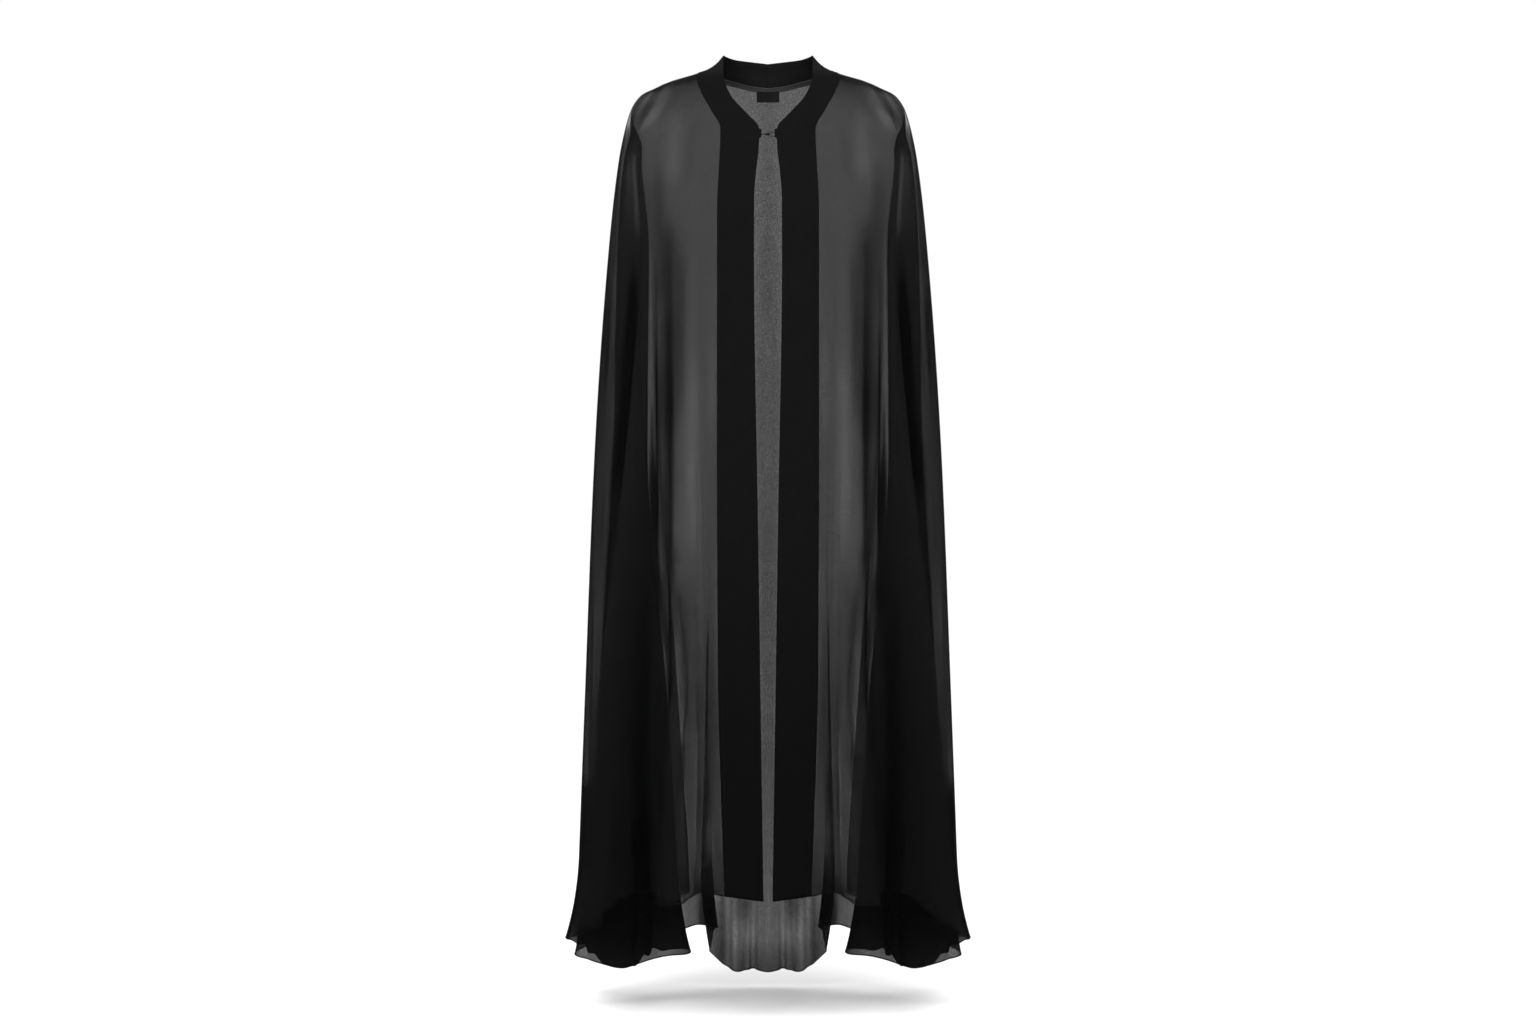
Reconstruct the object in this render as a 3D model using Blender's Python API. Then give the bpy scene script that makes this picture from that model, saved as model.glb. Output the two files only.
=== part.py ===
"""Long open-front abaya of sheer black georgette, hanging as it is worn.

Metres, +Z up, the front faces -Y. The origin lies at the base of the neck, on the middle plane,
where the garment rests on the shoulders. The sizes in the tables below are centimetres.
The cloth of one half is a ring of fold lines. Each fold line starts on the shoulder seam or on
the neck seam and falls to the hem. The other half is its mirror image.
"""
import bpy
import numpy as np
from typing import NamedTuple

CM = 0.01
MM = 0.001

# Cloth and seams
SHEER_WALL = 1.2 * MM
BAND_WALL = 2.0 * MM
TAPE_WALL = 1.0 * MM
LABEL_WALL = 1.0 * MM
SEAM_GAP = 0.3 * MM

# Least cosine of the bend between two pieces at a seam, which bounds how far an edge is set back
SHARPEST_SEAM = 0.2

# A point inside the garment that all its outer faces look away from
BODY_MIDDLE = (0.0, 0.0, -0.7)

# Heights where the fold lines are measured, as shares of the way from the top edge to the hem
YOKE, BUST, WAIST, KNEE, HEM = 0.08, 0.18, 0.42, 0.72, 1.0
ROLL_ROWS = 5
FALL_ROWS = 12
FACES_PER_FOLD = 3
KICK_START = 0.9

# Top edge, centimetres: shoulder tip, neck point and centre back of the neck
SHOULDER_TIP = (20.85, 0.0, -1.45)
NECK_POINT = (11.0, 0.8, 1.5)
NECK_BACK = (0.0, 7.5, -0.45)
NECK_DIP_POWER = 6
NECK_ROLL = 0.35

# Neck tape and label, centimetres
TAPE_WIDTH = 0.8
TAPE_START = 0.35
TAPE_FIRST_COLUMN = 4
LABEL_WIDTH = 3.8
LABEL_HEIGHT = 1.8
LABEL_TOP = -0.75
LABEL_COLUMNS = 7
TAPE_LEAST_REACH = 0.05

# Hook and eye
WIRE_RADIUS = 0.5 * MM
BILL_RADIUS = 0.7 * MM
CLASP_HEIGHT = -10.1 * CM
EYE_HALF_HEIGHT = 2.6 * MM
EYE_BENDS = 7
CLASP_SHIFT = 0.4 * MM
CLASP_ON_BAND = 4.0 * MM
WIRE_CLEARANCE = 0.35 * MM
HOOK_BENDS = 5
HOOK_BEND_OUT = 1.6 * MM
HOOK_TIP_OUT = 2.2 * MM
HOOK_TIP_TAPER = 0.8
STEM_ON_BAND = 2.0 * MM
STEM_STEP_OUT = 4.5 * MM


class FoldLine(NamedTuple):
    """One fold line of the sheer cloth, in centimetres.

    top: place on the top edge, 0 shoulder tip, 1 neck point, 2 centre back of the neck.
    out: distance from the middle plane at yoke, bust, waist, knee and hem.
    back: distance behind the neck's base at the same heights, negative in front.
    hem: height of the hem.
    kick: how far the hem's last stretch turns outwards.
    """
    name: str
    top: float
    out: tuple
    back: tuple
    hem: float
    kick: float


FRONT_LINES = (
    FoldLine("band_edge", 1.00, (7.7, 8.2, 8.2, 7.9, 6.6),
             (-8.8, -11.5, -12.5, -14.0, -16.0), -133.2, 0.0),
    FoldLine("chest_valley", 0.78, (11.1, 11.0, 11.0, 10.5, 10.6),
             (-8.6, -11.6, -12.2, -12.6, -13.5), -132.9, 0.0),
    FoldLine("front_flute", 0.62, (14.0, 13.9, 13.5, 12.9, 13.9),
             (-8.1, -11.2, -12.8, -15.0, -17.5), -134.2, 0.0),
    FoldLine("front_flute_edge", 0.50, (16.5, 16.8, 16.6, 16.1, 17.6),
             (-7.3, -10.4, -11.8, -14.0, -16.0), -134.6, 0.2),
    FoldLine("front_flute_under", 0.45, (18.3, 18.5, 18.0, 15.0, 12.5),
             (-6.4, -9.2, -10.4, -11.2, -11.8), -133.0, 0.0),
    FoldLine("deep_valley", 0.38, (20.0, 19.5, 19.0, 20.0, 20.1),
             (-5.6, -8.0, -8.4, -7.8, -6.0), -133.8, 0.0),
    FoldLine("side_flute_root", 0.32, (20.9, 20.3, 20.3, 22.5, 22.4),
             (-5.0, -7.4, -8.8, -9.8, -10.0), -133.5, 0.0),
    FoldLine("side_flute", 0.26, (21.8, 21.1, 21.7, 25.2, 25.9),
             (-4.4, -7.0, -8.8, -11.2, -13.0), -135.9, 0.0),
    FoldLine("side_flute_edge", 0.20, (22.9, 21.9, 23.4, 27.8, 31.0),
             (-3.4, -5.6, -6.6, -6.8, -5.5), -140.7, 0.8),
    FoldLine("side_flute_under", 0.15, (22.4, 20.9, 21.3, 24.3, 27.2),
             (-2.6, -4.4, -4.8, -4.0, -3.0), -140.1, 0.2),
    FoldLine("arm_strip", 0.09, (23.6, 24.2, 26.5, 28.9, 30.5),
             (-1.5, -2.6, -3.0, -2.6, -2.0), -141.6, 1.0),
    FoldLine("arm_seam", 0.00, (24.4, 26.2, 28.7, 30.4, 31.9),
             (0.0, 0.0, 0.0, 0.0, 0.5), -142.0, 1.7),
)

BACK_LINES = (
    FoldLine("near_1", 0.04, (24.1, 25.5, 27.6, 29.3, 30.1),
             (1.0, 1.4, 1.8, 2.0, 2.0), -143.7, 0.6),
    FoldLine("near_2", 0.08, (23.8, 24.6, 26.3, 27.0, 28.1),
             (1.4, 1.8, 2.4, 3.0, 3.5), -146.5, 0.2),
    FoldLine("near_3", 0.12, (23.5, 23.7, 25.0, 24.5, 23.3),
             (1.8, 2.1, 2.4, 2.4, 2.0), -147.2, 0.0),
    FoldLine("near_4", 0.16, (23.2, 22.7, 23.5, 22.4, 20.6),
             (2.1, 2.5, 3.2, 4.0, 4.5), -146.0, 0.0),
    FoldLine("near_5", 0.20, (22.8, 21.5, 21.9, 19.9, 17.2),
             (2.4, 2.8, 3.4, 3.8, 3.2), -144.3, 0.0),
    FoldLine("inner_edge", 0.24, (22.4, 20.4, 19.9, 16.8, 13.0),
             (2.9, 3.6, 4.6, 5.8, 6.5), -145.3, -0.2),
    FoldLine("far_1", 0.29, (22.7, 21.6, 21.5, 19.9, 19.1),
             (3.5, 4.6, 6.0, 7.8, 8.8), -146.8, 0.0),
    FoldLine("far_2", 0.33, (23.2, 23.0, 23.2, 23.3, 24.8),
             (3.9, 5.2, 6.8, 9.0, 10.5), -148.9, 0.0),
    FoldLine("far_3", 0.37, (23.6, 24.2, 24.9, 26.5, 28.9),
             (4.2, 5.4, 6.8, 8.4, 9.2), -147.9, 0.2),
    FoldLine("outer_edge", 0.42, (24.1, 25.3, 26.2, 29.0, 32.3),
             (4.8, 6.2, 7.8, 10.0, 12.0), -146.2, 0.4),
    FoldLine("back_1", 0.52, (22.8, 23.8, 24.7, 26.8, 28.8),
             (5.8, 7.6, 9.6, 12.4, 15.0), -144.9, 0.0),
    FoldLine("back_2", 0.67, (20.5, 20.3, 20.7, 21.5, 22.0),
             (6.9, 8.6, 10.4, 13.4, 16.8), -144.9, 0.0),
    FoldLine("back_3", 0.84, (16.9, 16.3, 16.2, 16.1, 15.2),
             (7.8, 9.4, 11.4, 15.0, 19.5), -143.9, 0.0),
    FoldLine("back_4", 1.00, (13.5, 12.9, 12.4, 12.0, 11.7),
             (8.4, 9.8, 11.6, 14.8, 18.6), -143.0, 0.0),
    FoldLine("train_under", 1.18, (11.0, 10.5, 10.2, 9.8, 9.4),
             (8.7, 10.0, 11.9, 15.5, 20.3), -143.7, 0.0),
    FoldLine("train_edge", 1.30, (9.6, 9.5, 9.5, 10.1, 10.4),
             (9.0, 10.3, 12.3, 16.4, 22.2), -146.1, 0.1),
    FoldLine("train_1", 1.46, (7.6, 7.6, 7.8, 8.1, 8.2),
             (9.2, 10.5, 12.7, 17.2, 23.6), -149.8, 0.0),
    FoldLine("train_2", 1.66, (4.7, 4.8, 4.9, 5.0, 5.2),
             (9.3, 10.5, 12.4, 16.4, 22.0), -151.0, 0.0),
    FoldLine("train_3", 1.84, (2.4, 2.4, 2.6, 2.6, 2.8),
             (9.4, 10.6, 12.7, 17.2, 24.0), -150.9, 0.0),
    FoldLine("centre_back", 2.00, (0.0, 0.0, 0.0, 0.0, 0.0),
             (9.5, 10.6, 12.5, 16.7, 22.8), -151.4, 0.0),
)

# Where the band's seam runs on the shoulder, at the four rows between neck point and yoke
NECK_SEAM_OUT = (11.5, 11.6, 10.9, 9.3)


class BandStation(NamedTuple):
    """The band's free edge beside one place on its seam, in centimetres.

    row: place on the seam, in rows of the front panel, negative behind the neck point.
    out, back, height: the free edge.
    """
    row: float
    out: float
    back: float
    height: float


BAND_STATIONS = (
    BandStation(-1.00, 0.00, 6.20, 3.40),
    BandStation(-0.50, 5.30, 4.35, 3.55),
    BandStation(0.00, 7.46, 0.00, 3.86),
    BandStation(1.00, 7.42, -1.80, 2.10),
    BandStation(2.00, 7.20, -3.90, -0.40),
    BandStation(3.00, 6.10, -5.90, -3.30),
    BandStation(4.00, 3.10, -8.00, -6.90),
    BandStation(4.50, 1.40, -8.90, -9.00),
    BandStation(5.00, 1.53, -9.30, -11.00),
    BandStation(6.00, 2.26, -11.20, -20.80),
    BandStation(7.00, 2.30, -11.80, -30.60),
    BandStation(11.00, 1.75, -13.30, -72.00),
    BandStation(17.00, 0.96, -16.40, -134.00),
)
BAND_FACES_ACROSS = 3
BAND_CROWN = 1.5 * MM

# Extra places along the band where it turns from the collar down the chest
BAND_TURN_PLACES = (3.5, 4.25, 4.5, 4.75)


def smooth_through(knots, values, places):
    """Curve through rows of values that never swings past a row (a monotone cubic)."""
    knots = np.asarray(knots, float)
    values = np.asarray(values, float)
    shape = (-1,) + (1,) * (values.ndim - 1)
    step = np.diff(knots).reshape(shape)
    slope = np.diff(values, axis=0) / step
    before, after = slope[:-1], slope[1:]
    weight_a = 2 * step[1:] + step[:-1]
    weight_b = step[1:] + 2 * step[:-1]
    same = before * after > 0
    safe_before = np.where(same, before, 1.0)
    safe_after = np.where(same, after, 1.0)
    mean = (weight_a + weight_b) / (weight_a / safe_before + weight_b / safe_after)
    inner = np.where(same, mean, 0.0)
    tangent = np.concatenate([slope[:1], inner, slope[-1:]])
    index = np.clip(np.searchsorted(knots, places, side="right") - 1, 0, len(knots) - 2)
    width = (knots[index + 1] - knots[index]).reshape(shape)
    t = (np.asarray(places, float) - knots[index]).reshape(shape) / width
    return (
        values[index] * (2 * t**3 - 3 * t**2 + 1)
        + tangent[index] * width * (t**3 - 2 * t**2 + t)
        + values[index + 1] * (3 * t**2 - 2 * t**3)
        + tangent[index + 1] * width * (t**3 - t**2)
    )


def top_point(share):
    """Place on the top edge in centimetres: 0 shoulder tip, 1 neck point, 2 centre back."""
    if share <= 1.0:
        return tuple(a + (b - a) * share for a, b in zip(SHOULDER_TIP, NECK_POINT))
    turn = (share - 1.0) * np.pi / 2
    out = NECK_POINT[0] * np.cos(turn)
    back = NECK_POINT[1] + (NECK_BACK[1] - NECK_POINT[1]) * np.sin(turn)
    height = NECK_POINT[2] + (NECK_BACK[2] - NECK_POINT[2]) * np.sin(turn) ** NECK_DIP_POWER
    return out, back, height


def roll_shares():
    """How far down and how far out the cloth is at each row of the shoulder's quarter round."""
    turn = np.linspace(0, np.pi / 2, ROLL_ROWS + 1)
    return 1 - np.cos(turn), np.sin(turn)


def row_heights():
    """Shares of the way to the hem where the rows lie."""
    drop, _ = roll_shares()
    fall = np.linspace(YOKE, HEM, FALL_ROWS + 1)
    return np.concatenate([drop * YOKE, fall[1:]])


def fold_line_points(line):
    """The points of a fold line at every row, in metres."""
    drop, reach = roll_shares()
    top = top_point(line.top)
    share = drop * YOKE
    side = (drop + reach) / 2
    roll = 1 - (1 - NECK_ROLL) * np.clip(line.top - 1, 0, 1)
    depth = roll * reach + (1 - roll) * drop
    out = top[0] + (line.out[0] - top[0]) * side
    if line.name == "band_edge":
        out[1:-1] = NECK_SEAM_OUT
    back = top[1] + (line.back[0] - top[1]) * depth
    knots = np.concatenate([share, [BUST, WAIST, KNEE, HEM]])
    out = np.concatenate([out, line.out[1:]])
    back = np.concatenate([back, line.back[1:]])
    rows = row_heights()
    plan = smooth_through(knots, np.stack([out, back], axis=1), rows)
    kick_share = np.clip((rows - KICK_START) / (1 - KICK_START), 0, 1) ** 2
    height = top[2] + rows * (line.hem - top[2])
    return np.stack([plan[:, 0] + line.kick * kick_share, plan[:, 1], height], axis=1) * CM


def half_ring():
    """Points of one half's cloth, rows by columns, and the columns of seam and neck point."""
    lines = FRONT_LINES + BACK_LINES
    mirrored = fold_line_points(BACK_LINES[-2]) * (-1, 1, 1)
    guides = np.stack([fold_line_points(line) for line in lines] + [mirrored])
    columns = np.arange((len(lines) - 1) * FACES_PER_FOLD + 1)
    surface = smooth_through(np.arange(len(guides)), guides, columns / FACES_PER_FOLD)
    names = [line.name for line in lines]
    seam_column, neck_column = (names.index(name) * FACES_PER_FOLD for name in ("arm_seam", "back_4"))
    return surface.transpose(1, 0, 2), seam_column, neck_column


def unit(vectors):
    """Vectors made one long."""
    return vectors / np.maximum(np.linalg.norm(vectors, axis=-1, keepdims=True), 1e-12)


def surface_normals(points):
    """Normals of a grid of points."""
    return unit(np.cross(np.gradient(points, axis=1), np.gradient(points, axis=0)))


def across_seam(edge, inside):
    """Unit directions from a seam's points into the cloth, square to the seam."""
    tangent = unit(np.gradient(edge, axis=0))
    way = inside - edge
    return unit(way - tangent * np.sum(way * tangent, axis=-1, keepdims=True))


def set_back(into_self, into_other, half_wall):
    """How far an edge moves into its own cloth so that two walls meet on the line between them."""
    bend = np.arccos(np.clip(-np.sum(into_self * into_other, axis=-1), SHARPEST_SEAM, 1.0)) / 2
    amount = SEAM_GAP / 2 / np.cos(bend) + half_wall * np.tan(bend)
    return into_self * amount[..., None]


def grid_wall(points, normals, wall):
    """Vertices and triangles of a closed wall round a grid of middle points."""
    rows, columns = points.shape[:2]
    count = rows * columns
    shift = normals * wall / 2
    vertices = np.concatenate([(points + shift).reshape(-1, 3), (points - shift).reshape(-1, 3)])
    index = np.arange(count).reshape(rows, columns)
    a, b = index[:-1, :-1].ravel(), index[:-1, 1:].ravel()
    d, c = index[1:, :-1].ravel(), index[1:, 1:].ravel()
    outer = np.concatenate([np.stack([a, c, b], 1), np.stack([a, d, c], 1)])
    inner = outer[:, ::-1] + count
    rim = np.concatenate([index[0, :-1], index[:-1, -1], index[-1, :0:-1], index[:0:-1, 0]])
    after = np.roll(rim, -1)
    sides = np.concatenate(
        [np.stack([rim, after, after + count], 1), np.stack([rim, after + count, rim + count], 1)]
    )
    return vertices, np.concatenate([outer, inner, sides])


def tube(path, radii, sides=8):
    """Vertices and triangles of a closed round tube along a path that lies in one plane."""
    path = np.asarray(path, float)
    tangent = unit(np.gradient(path, axis=0))
    plane = unit(np.cross(path[1] - path[0], path[-1] - path[len(path) // 2]) + (0, 0, 1e-9))
    side = unit(np.cross(plane, tangent))
    turn = np.arange(sides) * 2 * np.pi / sides
    ring = side[:, None] * np.cos(turn)[None, :, None] + plane * np.sin(turn)[None, :, None]
    vertices = (path[:, None] + ring * np.asarray(radii)[:, None, None]).reshape(-1, 3)
    rows = len(path)
    index = np.arange(rows * sides).reshape(rows, sides)
    after = np.roll(index, -1, axis=1)
    a, b, c, d = index[:-1].ravel(), after[:-1].ravel(), after[1:].ravel(), index[1:].ravel()
    faces = [np.stack([a, b, c], 1), np.stack([a, c, d], 1)]
    first, last = len(vertices), len(vertices) + 1
    faces.append(np.stack([np.full(sides, first), after[0], index[0]], 1))
    faces.append(np.stack([np.full(sides, last), index[-1], after[-1]], 1))
    return np.concatenate([vertices, path[:1], path[-1:]]), np.concatenate(faces)


def material(name, color, roughness, metallic=0.0):
    """A Principled material."""
    made = bpy.data.materials.new(name)
    made.use_nodes = True
    shader = made.node_tree.nodes["Principled BSDF"]
    shader.inputs["Base Color"].default_value = (*color, 1)
    shader.inputs["Roughness"].default_value = roughness
    shader.inputs["Metallic"].default_value = metallic
    return made


def add_solid(name, vertices, triangles, finish):
    """Makes an object of a closed body whose faces are turned outwards."""
    corner = [vertices[triangles[:, k]] for k in range(3)]
    volume = np.sum(corner[0] * np.cross(corner[1], corner[2])) / 6
    if volume < 0:
        triangles = triangles[:, ::-1]
    mesh = bpy.data.meshes.new(name)
    mesh.from_pydata(vertices.tolist(), [], triangles.tolist())
    mesh.materials.append(finish)
    mesh.shade_smooth()
    made = bpy.data.objects.new(name, mesh)
    bpy.context.scene.collection.objects.link(made)
    return made


def add_both_halves(name, wall_parts, finish):
    """The left piece and its mirror image on the right."""
    vertices, triangles = wall_parts
    add_solid(name + "_left", vertices * (-1, 1, 1), triangles, finish)
    add_solid(name + "_right", vertices, triangles, finish)


def band_places(front_rows, neck_columns):
    """Places along the band: those on the panels' own points, and all with the extra ones."""
    own = np.concatenate([np.linspace(-1, 0, neck_columns), np.arange(1, front_rows)])
    return own, np.sort(np.concatenate([own, BAND_TURN_PLACES]))


def band_grid(front, neck):
    """Middle points of one band, its stations by its faces across.

    front: the front panel's edge on the band. neck: the back panel's top edge on the collar,
    from the neck point to centre back. The seam side keeps exactly to those points.
    """
    seam = np.concatenate([neck[::-1], front[1:]])
    rows, places = band_places(len(front), len(neck))
    outer = np.stack([np.interp(places, rows, seam[:, k]) for k in range(3)], axis=1)
    table = np.array(BAND_STATIONS)
    inner = smooth_through(table[:, 0], table[:, 1:] * CM, places)
    share = np.linspace(0, 1, BAND_FACES_ACROSS + 1)[None, :, None]
    grid = outer[:, None] * (1 - share) + inner[:, None] * share
    crown = surface_normals(grid) * (BAND_CROWN * np.sin(np.pi * share))
    outward = grid * (1, 1, 0)
    facing = np.sign(np.sum(crown * outward, axis=-1, keepdims=True))
    return grid + crown * np.where(facing == 0, 1, facing)


def outward_normals(points, column):
    """Normals of a grid, turned so that the one halfway down a column looks out of the body."""
    normals = surface_normals(points)
    row = points.shape[0] // 2
    return normals * np.sign(np.dot(points[row, column] - BODY_MIDDLE, normals[row, column]))


def seam_normals(edge):
    """Normals of the cloth along the seam over shoulder and arm, square to the seam and to Y."""
    normals = unit(np.cross(np.gradient(edge, axis=0), (0.0, 1.0, 0.0)))
    return normals * np.sign(np.sum(normals * (1.0, 0.0, 1.0), axis=-1, keepdims=True))


def build_panels(ring, seam_column, neck_column, sheer):
    """The front and back panels of sheer cloth.

    Returns the points and normals of the back panel below the collar, then those of the band,
    whose seam side is set back from both panels.
    """
    normals = outward_normals(ring, seam_column // 2)
    normals[0, : neck_column + 1] = seam_normals(ring[0, : neck_column + 1])
    normals[1:, seam_column] = seam_normals(ring[:, seam_column])[1:]
    normals[0, seam_column] = unit(normals[0, seam_column] + normals[1, seam_column])

    band = band_grid(ring[:, 0], ring[0, neck_column:])
    band_into = across_seam(band[:, 0], band[:, 1])
    behind = ring.shape[1] - neck_column
    rows, places = band_places(ring.shape[0], behind)
    numbers = np.searchsorted(places, rows)
    neck_numbers, front_numbers = numbers[:behind], numbers[behind - 1 :]

    front = ring[:, : seam_column + 1].copy()
    back = ring[:, seam_column:].copy()
    # The corner at the neck point slides along the shoulder seam, so that the seam's gap stays
    along_shoulder = unit(ring[0, 1] - ring[0, 0])
    into_front = across_seam(front[:, 0], front[:, 1])
    into_front[0] = along_shoulder
    front[:, 0] += set_back(into_front, band_into[front_numbers], SHEER_WALL / 2)
    front[0, :] -= (0, SEAM_GAP / 2, 0)
    front[1:, -1] -= (0, SEAM_GAP / 2, 0)

    neck = slice(neck_column - seam_column, None)
    neck_edge = ring[0, neck_column:]
    into_back = across_seam(neck_edge, ring[1, neck_column:])
    into_back[0] = along_shoulder
    neck_band = band_into[neck_numbers[::-1]]
    back[0, neck] += set_back(into_back, neck_band, SHEER_WALL / 2)
    back[0, : neck_column - seam_column + 1] += (0, SEAM_GAP / 2, 0)
    back[1:, 0] += (0, SEAM_GAP / 2, 0)
    lean = np.abs(normals[:, -1, 0])
    back[:, -1, 0] += SEAM_GAP / 2 + SHEER_WALL / 2 * lean

    from_arm = slice(seam_column, None, -1)
    add_both_halves("front", grid_wall(front[:, ::-1], normals[:, from_arm], SHEER_WALL), sheer)
    add_both_halves("back", grid_wall(back, normals[:, seam_column:], SHEER_WALL), sheer)

    band_normals = outward_normals(band, BAND_FACES_ACROSS // 2)
    into_other = np.concatenate([into_back[::-1], into_front[1:]])
    other = np.stack([np.interp(places, rows, into_other[:, k]) for k in range(3)], axis=1)
    band[:, 0] += set_back(band_into, unit(other), BAND_WALL / 2)
    band[0, :, 0] += SEAM_GAP / 2 + BAND_WALL / 2 * np.abs(band_normals[0, :, 0])
    return back[:, neck], normals[:, neck_column:], band, band_normals


def build_tape(back, normals, finish):
    """The neck tape inside the back neck, moved inwards from the back panels' own points."""
    first = np.linalg.norm(back[1] - back[0], axis=-1)[:, None]
    second = np.linalg.norm(back[2] - back[1], axis=-1)[:, None]
    rest = np.clip((TAPE_WIDTH * CM - first * (1 - TAPE_START)) / second, TAPE_LEAST_REACH, 1)

    def on_panel(values):
        """Values of the panel at the tape's three rows."""
        top = values[0] * (1 - TAPE_START) + values[1] * TAPE_START
        return np.stack([top, values[1], values[1] * (1 - rest) + values[2] * rest])

    inward = on_panel(normals)
    half = on_panel(back) - inward * ((SHEER_WALL + TAPE_WALL) / 2 + 2 * SEAM_GAP)
    half, inward = half[:, TAPE_FIRST_COLUMN:], inward[:, TAPE_FIRST_COLUMN:]
    half[:, -1, 0] = 0.0
    mirror = (-1, 1, 1)
    points = np.concatenate([half, half[:, -2::-1] * mirror], axis=1)
    whole = np.concatenate([inward, inward[:, -2::-1] * mirror], axis=1)
    whole[:, half.shape[1] - 1, 0] = 0.0
    add_solid("neck_tape", *grid_wall(points, unit(whole), TAPE_WALL), finish)
    return points


def build_label(tape, finish):
    """The bare label that hangs from the neck tape."""
    out = np.linspace(-LABEL_WIDTH / 2, LABEL_WIDTH / 2, LABEL_COLUMNS) * CM
    front = np.minimum(tape[0, ::-1, 1], tape[1, ::-1, 1])
    offset = (TAPE_WALL + LABEL_WALL) / 2 + 2 * SEAM_GAP
    back = np.interp(out, tape[0, ::-1, 0], front) - offset
    heights = np.array([LABEL_TOP, LABEL_TOP - LABEL_HEIGHT / 2, LABEL_TOP - LABEL_HEIGHT]) * CM
    points = np.stack([np.stack([out, back, np.full(LABEL_COLUMNS, z)], axis=1) for z in heights])
    add_solid("label", *grid_wall(points, surface_normals(points), LABEL_WALL), finish)


def build_clasp(band, finish):
    """The fastened hook and eye at the neck, behind the bands' free edges."""
    free = band[:, -1]
    order = np.argsort(-free[:, 2])
    out = np.interp(-CLASP_HEIGHT, -free[order, 2], free[order, 0])
    depth = np.interp(-CLASP_HEIGHT, -free[order, 2], free[order, 1])
    lies = depth + BAND_WALL / 2 + 2 * SEAM_GAP + BILL_RADIUS
    root = out + CLASP_ON_BAND
    turn = np.linspace(-np.pi / 2, np.pi / 2, EYE_BENDS)
    loop_out = CLASP_SHIFT + EYE_HALF_HEIGHT * (1 - np.cos(turn))
    loop_height = EYE_HALF_HEIGHT * np.sin(turn)
    loop = [(x, 0.0, z) for x, z in zip(loop_out, loop_height)]
    low_leg, high_leg = (root, 0.0, -EYE_HALF_HEIGHT), (root, 0.0, EYE_HALF_HEIGHT)
    eye = np.array([low_leg] + loop + [high_leg]) + (0, lies, CLASP_HEIGHT)
    add_solid("neck_eye", *tube(eye, [WIRE_RADIUS] * len(eye)), finish)
    step = WIRE_RADIUS + BILL_RADIUS + WIRE_CLEARANCE
    bend = np.linspace(-np.pi / 2, np.pi / 2, HOOK_BENDS)
    bend_out = CLASP_SHIFT + HOOK_BEND_OUT
    bill = [(bend_out + step * np.cos(a), step * np.sin(a), 0.0) for a in bend]
    stem = [(-root, 0.0, 0.0), (-out + STEM_ON_BAND, 0.0, 0.0), (-STEM_STEP_OUT, -step, 0.0)]
    tip = [(CLASP_SHIFT - HOOK_TIP_OUT, step, 0.0)]
    hook = np.array(stem + bill + tip) + (0, lies, CLASP_HEIGHT)
    radii = [BILL_RADIUS] * (len(hook) - 1) + [BILL_RADIUS * HOOK_TIP_TAPER]
    add_solid("neck_hook", *tube(hook, radii), finish)


def main():
    """Builds every piece of the garment."""
    for old in list(bpy.data.objects):
        bpy.data.objects.remove(old, do_unlink=True)
    sheer = material("sheer_georgette", (0.010, 0.010, 0.011), 0.7)
    crepe = material("band_crepe", (0.006, 0.006, 0.007), 0.75)
    tape = material("neck_tape_twill", (0.02, 0.02, 0.02), 0.8)
    satin = material("label_satin", (0.008, 0.008, 0.008), 0.45)
    metal = material("clasp_metal", (0.03, 0.03, 0.03), 0.35, 1.0)
    ring, seam_column, neck_column = half_ring()
    back, normals, band, band_normals = build_panels(ring, seam_column, neck_column, sheer)
    add_both_halves("band", grid_wall(band, band_normals, BAND_WALL), crepe)
    tape_points = build_tape(back, normals, tape)
    build_label(tape_points, satin)
    build_clasp(band, metal)


main()
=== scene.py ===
"""Looks of a long open-front abaya of sheer black georgette, hanging as it is worn.

The cloth of one half is a ring of fold lines that fall from the shoulder seam or the neck seam to the
hem. Their tables, in centimetres, are the CAD part's, with some lines moved by less than 2 cm to
follow the picture. Each piece is a surface worked out from them on a finer grid. The other half is
the mirror image.
"""
import logging
from collections.abc import Callable
from dataclasses import dataclass
from enum import Enum
from typing import NamedTuple

import bpy
import numpy as np
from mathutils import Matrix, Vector


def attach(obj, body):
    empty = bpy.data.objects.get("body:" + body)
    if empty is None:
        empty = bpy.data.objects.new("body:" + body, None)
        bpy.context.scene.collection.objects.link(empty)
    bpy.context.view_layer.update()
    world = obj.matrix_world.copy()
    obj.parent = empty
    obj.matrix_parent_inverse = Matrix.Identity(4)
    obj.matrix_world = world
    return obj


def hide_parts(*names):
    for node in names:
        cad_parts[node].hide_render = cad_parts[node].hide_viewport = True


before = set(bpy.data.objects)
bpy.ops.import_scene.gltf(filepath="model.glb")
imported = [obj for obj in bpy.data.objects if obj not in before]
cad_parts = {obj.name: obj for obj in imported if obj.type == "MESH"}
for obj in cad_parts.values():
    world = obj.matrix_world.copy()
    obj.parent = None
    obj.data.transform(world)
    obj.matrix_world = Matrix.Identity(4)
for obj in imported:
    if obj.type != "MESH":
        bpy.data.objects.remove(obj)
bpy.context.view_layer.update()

LOG = logging.getLogger("abaya")
CM = 0.01
MM = 0.001
BODY = "root"
ALONG_X, ALONG_Y, ALONG_Z = (1.0, 0.0, 0.0), (0.0, 1.0, 0.0), (0.0, 0.0, 1.0)
MIRROR = (-1, 1, 1)

# Least length that counts as one, and how near two fold lines count as the same
TINY = 1e-12
NEAR = 1e-6

# Heights where the fold lines are measured, as shares of the way from the top edge to the hem
YOKE, BUST, WAIST, KNEE, HEM = 0.08, 0.18, 0.42, 0.72, 1.0
KICK_START = 0.9

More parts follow.
